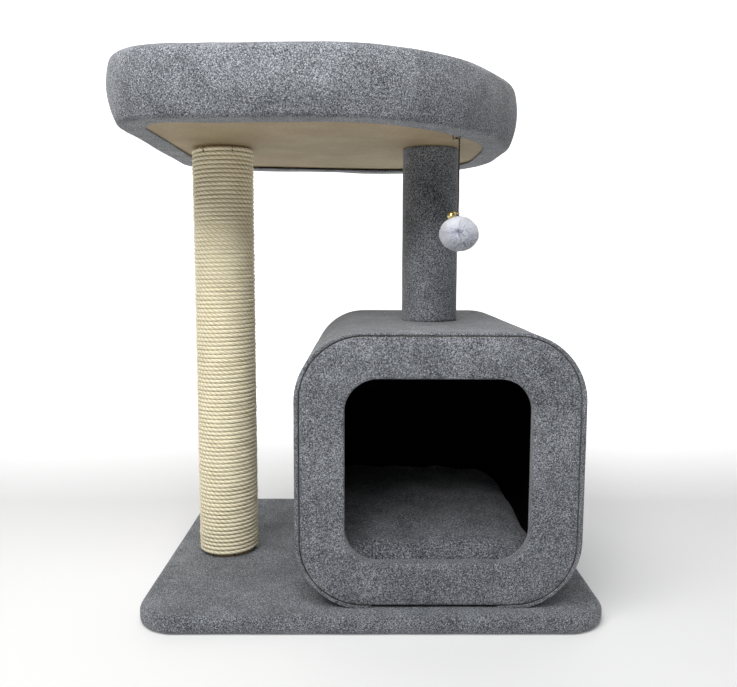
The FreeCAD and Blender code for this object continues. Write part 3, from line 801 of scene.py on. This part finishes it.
panel_low, panel_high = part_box("condo_front_cover")
panel_middle = (panel_low + panel_high) / 2
outline_foot = shell_low.z + panel_foot
outline_crown = shell_high.z - panel_crown
front_cover = rounded_frame(
    "felt_condo_front",
    panel_low.y,
    panel_high.y,
    (panel_middle.x, (outline_foot + outline_crown) / 2),
    (shell_high.x - shell_low.x - 2 * panel_side, outline_crown - outline_foot),
    panel_corner,
    (panel_middle.x + mouth_shift, panel_middle.z),
    mouth_size,
    mouth_corner,
)
bevel_level(front_cover, 1, panel_low.y, 0.0025, 4)
bevel_level(front_cover, 1, panel_high.y, 0.0012, 2)


def faces_front(face):
    return face.normal.y < -0.9 and face.calc_area() > 1e-5


select_only(front_cover, "faces", faces_front)
bpy.ops.mesh.subdivide(number_cuts=6)
bpy.ops.object.mode_set(mode="OBJECT")
uneven(front_cover, felt_waves, 0.0008)
apply_modifiers(front_cover)
bpy.ops.object.shade_smooth_by_angle(angle=math.radians(50))
wear(front_cover, grey_felt)
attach(front_cover, "root")
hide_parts("condo_front_cover")

back_low, back_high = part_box("condo_back_cover")
back_face_low = Vector((back_low.x, back_high.y - felt, back_low.z))
back_cover = rounded_box("felt_condo_back", back_face_low, back_high, 1, panel_corner, 20)
select_only(back_cover, "faces", lies_at(1, back_high.y))
bpy.ops.mesh.inset(thickness=0.012)
bpy.ops.mesh.inset(thickness=0.03)
bpy.ops.object.mode_set(mode="OBJECT")
add_modifier(back_cover, "BEVEL", width=0.0015, segments=3, limit_method="ANGLE")
apply_modifiers(back_cover)
bpy.ops.object.shade_smooth_by_angle(angle=math.radians(50))
wear(back_cover, grey_felt)
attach(back_cover, "root")
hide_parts("condo_back_cover")


# ---- condo cushion -------------------------------------------------------------------------------
# A loose cushion of the same felt, stuffed with fibre that has gone lumpy. It sits in the condo from
# wall to wall, swells in the middle and falls away towards the mouth and the right-hand wall.

cushion_low, cushion_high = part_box("condo_cushion_cover")
cushion_voxel = 0.0055
cushion_side = 0.014
cushion_cap = 0.007
start_low = Vector((cushion_low.x + 0.012, cushion_low.y + 0.006, cushion_low.z + 0.001))
start_high = Vector((cushion_high.x - 0.012, cushion_high.y - 0.004, cushion_high.z - 0.002))
cushion = rounded_box("condo_cushion", start_low, start_high, 2, 0.03, 6)
bevel_level(cushion, 2, start_high.z, cushion_side, 4)
bevel_level(cushion, 2, start_low.z, cushion_side, 4)
bpy.ops.object.mode_set(mode="OBJECT")
add_modifier(cushion, "REMESH", mode="VOXEL", voxel_size=cushion_voxel)
apply_modifiers(cushion)


def swell(piece, pressure, frames, cap):
    """Blow a closed cloth up a little, then hold every point within a cap of where it began."""
    before = np.empty(len(piece.data.vertices) * 3)
    piece.data.vertices.foreach_get("co", before)
    cloth = piece.modifiers.new("cloth", "CLOTH")
    cloth.settings.quality = 5
    cloth.settings.use_pressure = True
    cloth.settings.uniform_pressure_force = pressure
    cloth.settings.effector_weights.gravity = 0.0
    cloth.settings.tension_stiffness = 12.0
    cloth.settings.compression_stiffness = 12.0
    cloth.settings.bending_stiffness = 0.6
    cloth.point_cache.frame_start = 1
    cloth.point_cache.frame_end = frames
    for number in range(1, frames + 1):
        bpy.context.scene.frame_set(number)
    apply_modifiers(piece)
    bpy.context.scene.frame_set(1)
    after = np.empty_like(before)
    piece.data.vertices.foreach_get("co", after)
    moved = (after - before).reshape(-1, 3)
    length = np.linalg.norm(moved, axis=1, keepdims=True)
    moved *= np.minimum(1.0, cap / np.maximum(length, 1e-9))
    piece.data.vertices.foreach_set("co", (before.reshape(-1, 3) + moved).ravel())
    piece.data.update()


swell(cushion, 3.0, 16, cushion_cap)

# lumps, two soft valleys, a crown at the back left, and falls to the mouth and the right-hand wall
points = np.empty(len(cushion.data.vertices) * 3)
cushion.data.vertices.foreach_get("co", points)
points = points.reshape(-1, 3)
depth = (points[:, 1] - cushion_low.y) / (cushion_high.y - cushion_low.y)
width = (points[:, 0] - cushion_low.x) / (cushion_high.x - cushion_low.x)
height = (points[:, 2] - cushion_low.z) / (cushion_high.z - cushion_low.z)
crown_rise = 0.011
mouth_fall = 0.006
wall_fall = 0.020
wall_start = 0.72
lump_size = 0.05
lump_rise = 0.007


def fold(start, slant, spread, deep):
    """A valley that starts part way across the mouth and slants to the right towards the back."""
    return deep * np.exp(-(((width - start - slant * depth) / spread) ** 2))


crown = crown_rise * np.clip(depth, 0, 1) * (1 - width) + 0.002
fall = mouth_fall * np.exp(-((depth / 0.2) ** 2))
fall += wall_fall * np.clip((width - wall_start) / (1 - wall_start), 0, 1) ** 2
valley = fold(0.32, 0.45, 0.06, 0.007) + fold(0.12, 0.20, 0.05, 0.005)
valley *= 1 - 0.8 * np.clip(depth, 0, 1)
lumps = np.array([noise.noise(Vector(p) / lump_size) for p in points]) * lump_rise
points[:, 2] += np.clip(height, 0, 1) * (lumps + crown - fall - valley)
cushion.data.vertices.foreach_set("co", points.ravel())
add_modifier(cushion, "SMOOTH", factor=0.5, iterations=3)
add_modifier(cushion, "SUBSURF", levels=1, render_levels=1)
apply_modifiers(cushion)
bpy.ops.object.shade_smooth()
cushion_felt = felt_material("grey_cushion_felt", "#16181A", "#515459", "#B4B7BD", clump=0.0019)
wear(cushion, cushion_felt)
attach(cushion, "cushion")
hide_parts("condo_cushion_cover", "condo_cushion_filling")


# ---- perch cover ---------------------------------------------------------------------------------
# Felt pulled round the perch's foam rim: over the top, down inside to the seat, and under the board,
# where it is cut roughly and stapled. The foam pushes it into a gentle bulge.

perch_corners = [(-0.297, -0.233), (0.061, -0.256), (0.1915, -0.055), (0.190, 0.271), (-0.297, 0.207)]
perch_radii = [0.088, 0.232, 0.208, 0.166, 0.086]
perch_fold = 0.0435
bolster_width = 0.062
bulge_radius = 0.095
widest_height = 0.044
under_round = 0.008
crown_round = 0.012
inner_round = 0.018
under_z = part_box("perch_board")[0].z - felt
perch_depth = 0.075
crown_z = under_z + perch_depth


def perch_outline(arc_points=16, spacing=0.011):
    """Points round the perch's widest outline, each with its outward direction."""
    rows = []
    count = len(perch_corners)
    starts = []
    for i in range(count):
        corner = Vector(perch_corners[i])
        before = (Vector(perch_corners[i - 1]) - corner).normalized()
        after = (Vector(perch_corners[(i + 1) % count]) - corner).normalized()
        half = before.angle(after) / 2
        centre = corner + (before + after).normalized() * (perch_radii[i] / math.sin(half))
        reach = perch_radii[i] / math.tan(half)
        first = corner + before * reach - centre
        last = corner + after * reach - centre
        angle0 = math.atan2(first.y, first.x)
        sweep = (math.atan2(last.y, last.x) - angle0) % (2 * math.pi)
        arc = []
        for k in range(arc_points + 1):
            angle = angle0 + sweep * k / arc_points
            outward = Vector((math.cos(angle), math.sin(angle)))
            arc.append((centre + outward * perch_radii[i], outward))
        starts.append(arc)
    for i in range(count):
        rows += starts[i]
        here, outward = starts[i][-1]
        there = starts[(i + 1) % count][0][0]
        pieces = max(2, round((there - here).length / spacing))
        rows += [(here.lerp(there, k / pieces), outward) for k in range(1, pieces)]
    return rows


def arc_profile(inset, height, radius, first, last, count):
    """Profile points on an arc; 0 degrees points out of the perch and 90 up."""
    made = []
    for k in range(count + 1):
        angle = math.radians(first + (last - first) * k / count)
        made.append((inset - radius * math.cos(angle), height + radius * math.sin(angle)))
    return made


def rim_profile():
    """The rim's skin from the cut edge under the board, out, over the top and down to the seat."""
    widest = under_z + widest_height
    low_angle = math.asin((under_z + under_round - widest) / (bulge_radius - under_round))
    high_angle = math.asin((crown_z - crown_round - widest) / (bulge_radius - crown_round))
    low_inset = bulge_radius - (bulge_radius - under_round) * math.cos(low_angle)
    high_inset = bulge_radius - (bulge_radius - crown_round) * math.cos(high_angle)
    low_angle = math.degrees(low_angle)
    high_angle = math.degrees(high_angle)
    inner = bolster_width - inner_round
    made = [(perch_fold, under_z + felt * 0.9), (perch_fold, under_z)]
    made += [(perch_fold + (low_inset - perch_fold) * k / 6, under_z) for k in range(1, 6)]
    made += arc_profile(low_inset, under_z + under_round, under_round, -90, low_angle, 5)
    made += arc_profile(bulge_radius, widest, bulge_radius, low_angle, high_angle, 10)[1:]
    made += arc_profile(high_inset, crown_z - crown_round, crown_round, high_angle, 90, 6)[1:]
    made += [(high_inset + (inner - high_inset) * k / 4, crown_z) for k in range(1, 4)]
    made += arc_profile(inner, crown_z - inner_round, inner_round, 90, 180, 8)
    made += [(bolster_width, crown_z - inner_round - 0.006 * k) for k in range(1, 7)]
    return made


def extrude_outline(name, outline, profile, ragged=0.0):
    """Draw the outline once as a ring of edges, then extrude it from one profile point to the next.
    The first rings can be made ragged, as a cut edge is."""
    clear_selection()
    bpy.ops.mesh.primitive_circle_add(vertices=len(outline), radius=0.1)
    piece = bpy.context.object
    piece.name = name
    piece.data.name = name
    bpy.ops.object.mode_set(mode="EDIT")
    bpy.ops.mesh.select_all(action="SELECT")
    for number, (inset, height) in enumerate(profile):
        if number > 0:
            bpy.ops.mesh.extrude_region_move()
        mesh = bmesh.from_edit_mesh(piece.data)
        mesh.verts.ensure_lookup_table()
        ring = [mesh.verts[number * len(outline) + k] for k in range(len(outline))]
        for k, vertex in enumerate(ring):
            spot, outward = outline[k]
            rough = 0.0
            if ragged and number < 3:
                # the felt was cut a little narrower at the left end
                rough = ragged * noise.noise(Vector((spot.x, spot.y, 0.0)) / 0.012)
                rough += ragged * 0.6 * noise.noise(Vector((spot.x, spot.y, 5.0)) / 0.004)
                rough -= 0.0022 * max(0.0, -outward.x)
            at = spot - outward * (inset + rough)
            vertex.co = (at.x, at.y, height)
        bmesh.update_edit_mesh(piece.data)
    bpy.ops.object.mode_set(mode="OBJECT")
    return piece


perch_cover = extrude_outline("felt_perch_cover", perch_outline(), rim_profile(), ragged=0.0012)
bpy.ops.object.mode_set(mode="EDIT")
bpy.ops.mesh.select_all(action="SELECT")
bpy.ops.mesh.normals_make_consistent(inside=False)
bpy.ops.object.mode_set(mode="OBJECT")
add_modifier(perch_cover, "SUBSURF", levels=1, render_levels=1)
rim_waves = soft_noise("rim_waves", 0.11)
uneven(perch_cover, rim_waves, 0.003)
uneven(perch_cover, felt_waves, 0.001)
add_modifier(perch_cover, "SOLIDIFY", thickness=0.0012, offset=-1.0)
apply_modifiers(perch_cover)

# the felt sags a little under the board towards the back
sag = 0.0022
sag_height = 0.03
for vertex in perch_cover.data.vertices:
    above = vertex.co.z - under_z
    if above < sag_height:
        towards_back = min(1.0, max(0.0, (vertex.co.y + 0.05) / 0.25))
        vertex.co.z -= sag * towards_back * (1 - above / sag_height)
bpy.ops.object.shade_smooth()
wear(perch_cover, grey_felt)
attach(perch_cover, "root")
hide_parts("perch_cover")


# ---- perch pad -----------------------------------------------------------------------------------
# The seat inside the rim: a flat foam pad under felt, crowned in the middle and tucked down where it
# meets the rim.

pad_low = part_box("perch_pad_cover")[0]
pad_crown = [(0.0635, 0.0), (0.0628, 0.006), (0.0632, 0.011), (0.066, 0.0155), (0.072, 0.0180),
             (0.082, 0.0190), (0.084, 0.0191)]
pad_profile = [(inset, pad_low.z + rise) for inset, rise in pad_crown]
pad = extrude_outline("felt_perch_pad", perch_outline(), pad_profile)
bpy.ops.object.mode_set(mode="EDIT")
bpy.ops.mesh.edge_face_add()
select_only(pad, "edges", lies_at(2, pad_low.z))
bpy.ops.mesh.edge_face_add()
bpy.ops.mesh.select_all(action="SELECT")
bpy.ops.mesh.normals_make_consistent(inside=False)
bpy.ops.object.mode_set(mode="OBJECT")
add_modifier(pad, "REMESH", mode="VOXEL", voxel_size=0.005)
apply_modifiers(pad)
swell(pad, 2.0, 14, 0.004)
uneven(pad, rim_waves, 0.003)
add_modifier(pad, "SMOOTH", factor=0.5, iterations=4)
add_modifier(pad, "SUBSURF", levels=1, render_levels=1)
apply_modifiers(pad)
bpy.ops.object.shade_smooth()
wear(pad, grey_felt)
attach(pad, "root")
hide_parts("perch_pad_cover", "perch_pad_foam")


# ---- pompom --------------------------------------------------------------------------------------
# A ball of soft grey-blue plush, gathered and tied at one point in front. Creases run out from there,
# and the pile is combed along them and trimmed to the ball.

pompom_half = Vector((0.0238, 0.0238, 0.0208))
pompom_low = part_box("toy_pompom")[0]
pompom_offset = 0.0013
pompom_centre = Vector((cord_x + pompom_offset, cord_y, pompom_low.z + pompom_half.z))
core_share = 0.86
tuft_count = 8200
tuft_length = 0.0062
tuft_width = 0.00052
gather = Vector((-0.20, -1.0, 0.03)).normalized()
gather_side = gather.cross(Vector((0, 0, 1))).normalized()
gather_up = gather_side.cross(gather)
crease_depth = 0.0030
flat_depth = 0.0026
flat_way = Vector((0.72, -0.15, 0.68)).normalized()
flat_start = 0.6


def crease_at(outward):
    """1 in the uneven creases that run out from the gathering point, 0 between them."""
    away = outward.angle(gather)
    spread = math.atan2(outward.dot(gather_up), outward.dot(gather_side))
    ring_spot = Vector((math.cos(spread), math.sin(spread), 0.0))
    crease = abs(noise.noise(ring_spot * 2.6 + Vector((0, 0, away * 0.6))))
    crease = max(0.0, 1.0 - crease / 0.09) * math.exp(-((away / 0.75) ** 2))
    return max(crease, math.exp(-((away / 0.13) ** 2)))


def plush_depth(outward):
    """How far the plush stands in from the full ball: in the creases, and where it was cut flat at
    the upper right."""
    flat = max(0.0, outward.dot(flat_way) - flat_start) / (1 - flat_start)
    return crease_depth * crease_at(outward) + flat_depth * flat


def set_shade(mesh, values):
    """Store how pale the plush is at each point, painted shade included, for its material."""
    layer = mesh.attributes.new("plush_shade", "FLOAT", "POINT")
    layer.data.foreach_set("value", values)


core = ball("pompom_core", pompom_centre, pompom_half * core_share, rings=48)
for vertex in core.data.vertices:
    outward = (vertex.co - pompom_centre).normalized()
    vertex.co -= outward * plush_depth(outward)
# the core under the pile gets a low value: painted shade under the tufts
set_shade(core.data, [0.15] * len(core.data.vertices))

clear_selection()
bpy.ops.mesh.primitive_cone_add(vertices=3, radius1=1.0, radius2=0.4, depth=1.0, location=(0, 0, 0.5))
tuft = bpy.context.object
bpy.ops.object.transform_apply(location=True, rotation=True, scale=True)
bpy.ops.object.mode_set(mode="EDIT")
select_only(tuft, "edges", lambda edge: abs(edge.verts[0].co.z - edge.verts[1].co.z) > 0.5)
bpy.ops.mesh.subdivide(number_cuts=1)
select_only(tuft, "verts", lambda vertex: abs(vertex.co.z - 0.5) < 0.1)
bpy.ops.transform.resize(value=(1.15, 1.15, 1))
bpy.ops.object.mode_set(mode="OBJECT")
tuft_points = np.array([vertex.co for vertex in tuft.data.vertices])
tuft_faces = [tuple(face.vertices) for face in tuft.data.polygons]
bpy.data.objects.remove(tuft)

random.seed(21)
noise.seed_set(21)
golden = math.pi * (3 - math.sqrt(5))
all_points = []
all_faces = []
shades = []
# painted shade falls on the side of the ball that faces this way, low at the front right
painted_shade_side = Vector((0.35, -0.75, -0.62)).normalized()
for number in range(tuft_count):
    z = 1 - 2 * (number + 0.5) / tuft_count
    ring_share = math.sqrt(1 - z * z)
    heading = golden * number
    outward = Vector((ring_share * math.cos(heading), ring_share * math.sin(heading), z))
    # the pile is combed away from the gathering point, and neighbours lean together in clumps
    away = outward.angle(gather)
    comb = (outward * math.cos(away) - gather).normalized() if away > 0.02 else Vector((0, 0, 0))
    lean = comb * (0.9 * math.exp(-((away / 1.3) ** 2)))
    lean += noise.noise_vector(outward * 3.4) * 0.40 + noise.noise_vector(outward * 8.0) * 0.30
    way = (outward + lean + Vector([random.uniform(-0.1, 0.1) for _ in range(3)])).normalized()
    side = way.orthogonal().normalized()
    other = way.cross(side)
    start = Vector([outward[k] * pompom_half[k] for k in range(3)]) * (core_share - 0.02)
    start -= outward * plush_depth(outward)
    # the ends are trimmed to the ball
    length = tuft_length * random.uniform(0.8, 1.15)
    end = start + way * length
    limit = math.sqrt(sum((end[k] / pompom_half[k]) ** 2 for k in range(3)))
    trim = random.uniform(0.96, 1.025)
    if limit > trim:
        end *= trim / limit
    bend = comb * 0.0006 + noise.noise_vector(outward * 5.0) * 0.0008
    width = tuft_width * random.uniform(0.7, 1.25)
    offset = len(all_points)
    # tone varies at random from tuft to tuft; painted shade darkens the creases, the lower right side
    # and each tuft's root, and deepens the speckle of shaded gaps between tufts there
    speckle_and_gap_shade = noise.noise(outward * 16.0) * (0.35 + 0.9 * max(0.0, outward.dot(painted_shade_side)) ** 3)
    plush_tone_and_shade = 0.72 + random.uniform(-0.12, 0.12) + speckle_and_gap_shade - 0.75 * crease_at(outward)
    plush_tone_and_shade -= 0.30 * max(0.0, outward.dot(painted_shade_side)) ** 4
    shades += [plush_tone_and_shade - 0.30 * (1 - spot[2]) for spot in tuft_points]
    for spot in tuft_points:
        at = pompom_centre + start.lerp(end, spot[2]) + bend * spot[2] ** 2
        at += (side * spot[0] + other * spot[1]) * width
        all_points.append(at)
    all_faces += [tuple(offset + index for index in face) for face in tuft_faces]
tufts = bpy.data.meshes.new("pompom_tufts")
tufts.from_pydata(all_points, [], all_faces)
set_shade(tufts, shades)
tufts_piece = bpy.data.objects.new("pompom_tufts", tufts)
bpy.context.scene.collection.objects.link(tufts_piece)
clear_selection()
tufts_piece.select_set(True)
core.select_set(True)
bpy.context.view_layer.objects.active = core
bpy.ops.object.join()
pompom = core
pompom.name = "yarn_pompom"
bpy.ops.object.shade_smooth()

# Fluffy acrylic yarn: pale grey-blue, very matt. Painted shade makes it darker in the partings and
# creases, at the tufts' roots, under the pile and on the lower right side, lighter at the tips.
yarn, tree, shader = new_material("brushed_acrylic_yarn")
place = add_node(tree, "ShaderNodeTexCoord").outputs["Object"]
plush_clump = 0.004
soft = add_node(
    tree,
    "ShaderNodeTexNoise",
    [("Vector", place), ("Scale", 1 / plush_clump), ("Detail", 4.0), ("Roughness", 0.65)],
)
plush_shade = add_node(tree, "ShaderNodeAttribute")
plush_shade.attribute_name = "plush_shade"
plush_tone_and_shade = add_node(
    tree,
    "ShaderNodeMix",
    [("Factor", 0.75), ("A", soft.outputs["Fac"]), ("B", plush_shade.outputs["Fac"])],
    data_type="FLOAT",
)
ramp = add_node(tree, "ShaderNodeValToRGB", [("Fac", plush_tone_and_shade.outputs[0])])
set_ramp(ramp, [(0.0, "#7C8192"), (0.26, "#BCC1CF"), (0.46, "#E2E5EF"), (0.8, "#F6F7FC")])
tree.links.new(ramp.outputs["Color"], shader.inputs["Base Color"])
shader.inputs["Roughness"].default_value = 1.0
shader.inputs["Specular IOR Level"].default_value = 0.1
shader.inputs["Sheen Weight"].default_value = 0.3
shader.inputs["Sheen Roughness"].default_value = 0.5
wear(pompom, yarn)
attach(pompom, "toy")
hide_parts("toy_pompom")


# ---- bell ----------------------------------------------------------------------------------------
# A small jingle bell pressed from gilt brass in two halves, with crossed slots and a loose steel pea,
# on a wire ring round the cord.

ring_low, ring_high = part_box("bell_ring")
ring_centre = (ring_low + ring_high) / 2
ring_wire = 0.0004
bell_radius = 0.0049
bell_wall = 0.0005
bell_seam = 1.035
slot_long = 0.0075
slot_narrow = 0.0009
slot_reach = 0.0068
loop_radius = 0.00115
loop_wire = 0.00035
bell_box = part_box("bell_shell")
bell_centre = Vector((bell_box[0].x + bell_radius, cord_y, bell_box[0].z + bell_radius))

bell = ball("jingle_bell", bell_centre, (bell_radius, bell_radius, bell_radius), rings=24)
bpy.ops.object.mode_set(mode="EDIT")
select_only(bell, "verts", lambda vertex: abs(vertex.co.z - bell_centre.z) < 1e-5)
bpy.ops.transform.resize(value=(bell_seam, bell_seam, 1.0), center_override=bell_centre)
bpy.ops.object.mode_set(mode="OBJECT")
add_modifier(bell, "SOLIDIFY", thickness=bell_wall, offset=-1.0)
apply_modifiers(bell)
for slot_across, slot_up in ((slot_narrow, slot_long), (slot_long, slot_narrow)):
    clear_selection()
    bpy.ops.mesh.primitive_cube_add(
        size=1.0,
        location=bell_centre - Vector((bell_radius, 0, 0)),
        scale=(slot_reach, slot_across, slot_up),
    )
    cutter = bpy.context.object
    bpy.ops.object.transform_apply(location=True, rotation=True, scale=True)
    add_modifier(bell, "BOOLEAN", operation="DIFFERENCE", object=cutter, solver="EXACT")
    apply_modifiers(bell)
    bpy.data.objects.remove(cutter)
clear_selection()
bell.select_set(True)
bpy.context.view_layer.objects.active = bell
bpy.ops.object.mode_set(mode="EDIT")
bpy.ops.mesh.select_all(action="DESELECT")
bpy.ops.mesh.primitive_torus_add(
    location=(ring_low.x + ring_wire, cord_y, ring_centre.z),
    rotation=(math.pi / 2, 0, 0),
    major_radius=loop_radius,
    minor_radius=loop_wire,
    major_segments=28,
    minor_segments=12,
)
bpy.ops.object.mode_set(mode="OBJECT")
bpy.ops.object.shade_smooth_by_angle(angle=math.radians(50))

clear_selection()
bpy.ops.mesh.primitive_torus_add(
    location=ring_centre,
    major_radius=(ring_high.x - ring_low.x) / 2 - ring_wire,
    minor_radius=ring_wire,
    major_segments=48,
    minor_segments=12,
)
bell_ring = bpy.context.object
bell_ring.name = "bell_ring_wire"
bpy.ops.object.mode_set(mode="EDIT")
# the wire's two ends pass each other at the back, where the ring was opened to thread it
select_only(bell_ring, "verts", lambda vertex: vertex.co.y > 0.0024)
bpy.ops.transform.resize(value=(1.0, 1.0, 1.25))
bpy.ops.object.mode_set(mode="OBJECT")
bpy.ops.object.transform_apply(location=True, rotation=True, scale=True)
bpy.ops.object.shade_smooth()

# Gilt brass: a thin bright plating, polished by tumbling, so small dents blur the highlights.
gilt, tree, shader = new_material("gilt_brass")
place = add_node(tree, "ShaderNodeTexCoord").outputs["Object"]
dent_size = 0.0012
dents = add_node(
    tree, "ShaderNodeTexNoise", [("Vector", place), ("Scale", 1 / dent_size), ("Detail", 2.0)]
)
relief = add_node(
    tree,
    "ShaderNodeBump",
    [("Height", dents.outputs["Fac"]), ("Strength", 0.15), ("Distance", 0.0002)],
)
tree.links.new(relief.outputs["Normal"], shader.inputs["Normal"])
shader.inputs["Base Color"].default_value = linear("#F3DC92")
shader.inputs["Metallic"].default_value = 1.0
shader.inputs["Roughness"].default_value = 0.16
for piece, node in ((bell, "bell_shell"), (bell_ring, "bell_ring")):
    wear(piece, gilt)
    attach(piece, "bell")
    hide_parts(node)


# ---- boards, tubes, hardware and linings ---------------------------------------------------------
# The pieces whose shape is plain: cut boards, cardboard tubes, steel hardware, foam and the condo's
# black lining. They keep their own shape and take the finish of the real stuff.


def board_material(name, dark, ground, pale, chip=0.0035, patch=0.06):
    """Pressed board: a smooth pale face with fine chips of darker and lighter wood."""
    material, tree, shader = new_material(name)
    place = add_node(tree, "ShaderNodeTexCoord").outputs["Object"]
    chips = add_node(
        tree,
        "ShaderNodeTexNoise",
        [("Vector", place), ("Scale", 1 / chip), ("Detail", 5.0), ("Roughness", 0.7)],
    )
    cloud = add_node(
        tree, "ShaderNodeTexNoise", [("Vector", place), ("Scale", 1 / patch), ("Detail", 3.0)]
    )
    shade = add_node(
        tree,
        "ShaderNodeMix",
        [("Factor", 0.45), ("A", chips.outputs["Fac"]), ("B", cloud.outputs["Fac"])],
        data_type="FLOAT",
    )
    ramp = add_node(tree, "ShaderNodeValToRGB", [("Fac", shade.outputs[0])])
    set_ramp(ramp, [(0.35, dark), (0.5, ground), (0.65, pale)])
    tree.links.new(ramp.outputs["Color"], shader.inputs["Base Color"])
    relief = add_node(
        tree,
        "ShaderNodeBump",
        [("Height", chips.outputs["Fac"]), ("Strength", 0.25), ("Distance", 0.0003)],
    )
    tree.links.new(relief.outputs["Normal"], shader.inputs["Normal"])
    shader.inputs["Roughness"].default_value = 0.75
    shader.inputs["IOR"].default_value = 1.5
    return material


def cloth_material(name, dark, pale, thread=0.0008):
    """Thin bonded cloth: one colour with a faint web of fibres."""
    material, tree, shader = new_material(name)
    place = add_node(tree, "ShaderNodeTexCoord").outputs["Object"]
    web = add_node(
        tree,
        "ShaderNodeTexNoise",
        [("Vector", place), ("Scale", 1 / thread), ("Detail", 3.0), ("Distortion", 2.0)],
    )
    ramp = add_node(tree, "ShaderNodeValToRGB", [("Fac", web.outputs["Fac"])])
    set_ramp(ramp, [(0.35, dark), (0.65, pale)])
    tree.links.new(ramp.outputs["Color"], shader.inputs["Base Color"])
    relief = add_node(
        tree,
        "ShaderNodeBump",
        [("Height", web.outputs["Fac"]), ("Strength", 0.3), ("Distance", 0.0004)],
    )
    tree.links.new(relief.outputs["Normal"], shader.inputs["Normal"])
    shader.inputs["Roughness"].default_value = 0.95
    shader.inputs["Specular IOR Level"].default_value = 0.1
    return material


def steel_material(name, colour, roughness, mark=0.0015):
    """Plated steel wire and hardware: bright, with rolling marks."""
    material, tree, shader = new_material(name)
    place = add_node(tree, "ShaderNodeTexCoord").outputs["Object"]
    marks = add_node(
        tree, "ShaderNodeTexNoise", [("Vector", place), ("Scale", 1 / mark), ("Detail", 3.0)]
    )
    relief = add_node(
        tree,
        "ShaderNodeBump",
        [("Height", marks.outputs["Fac"]), ("Strength", 0.2), ("Distance", 0.0002)],
    )
    tree.links.new(relief.outputs["Normal"], shader.inputs["Normal"])
    shader.inputs["Base Color"].default_value = linear(colour)
    shader.inputs["Metallic"].default_value = 1.0
    shader.inputs["Roughness"].default_value = roughness
    return material


finishes = {
    "board": board_material("fibreboard", "#8E7C5E", "#9A896A", "#A69678"),
    "shell_board": board_material("bent_hardboard", "#2E241B", "#3A2D22", "#46372A"),
    "tube_cardboard": board_material("wound_cardboard", "#9B7F58", "#B0946B", "#C0A67F", 0.002),
    "underlay": cloth_material("black_backing_cloth", "#101012", "#1E1E21"),
    "black_lining": cloth_material("black_bonded_lining", "#060607", "#0E0E10"),
    "filling": cloth_material("white_fibre_filling", "#DAD9D4", "#F2F1ED", 0.003),
    "zinc_steel": steel_material("zinc_plated_steel", "#BFC0C2", 0.35),
    "staple_steel": steel_material("staple_wire", "#6E665C", 0.45),
    "grey_felt": grey_felt,
    "cushion_felt": cushion_felt,
    "sisal": sisal,
    "black_elastic": elastic,
    "pompom_yarn": yarn,
    "bell_brass": gilt,
}
for row in frame["record"]["subparts"]:
    wear(frame["nodes"][row["node"]], finishes[row["material_slot"]])
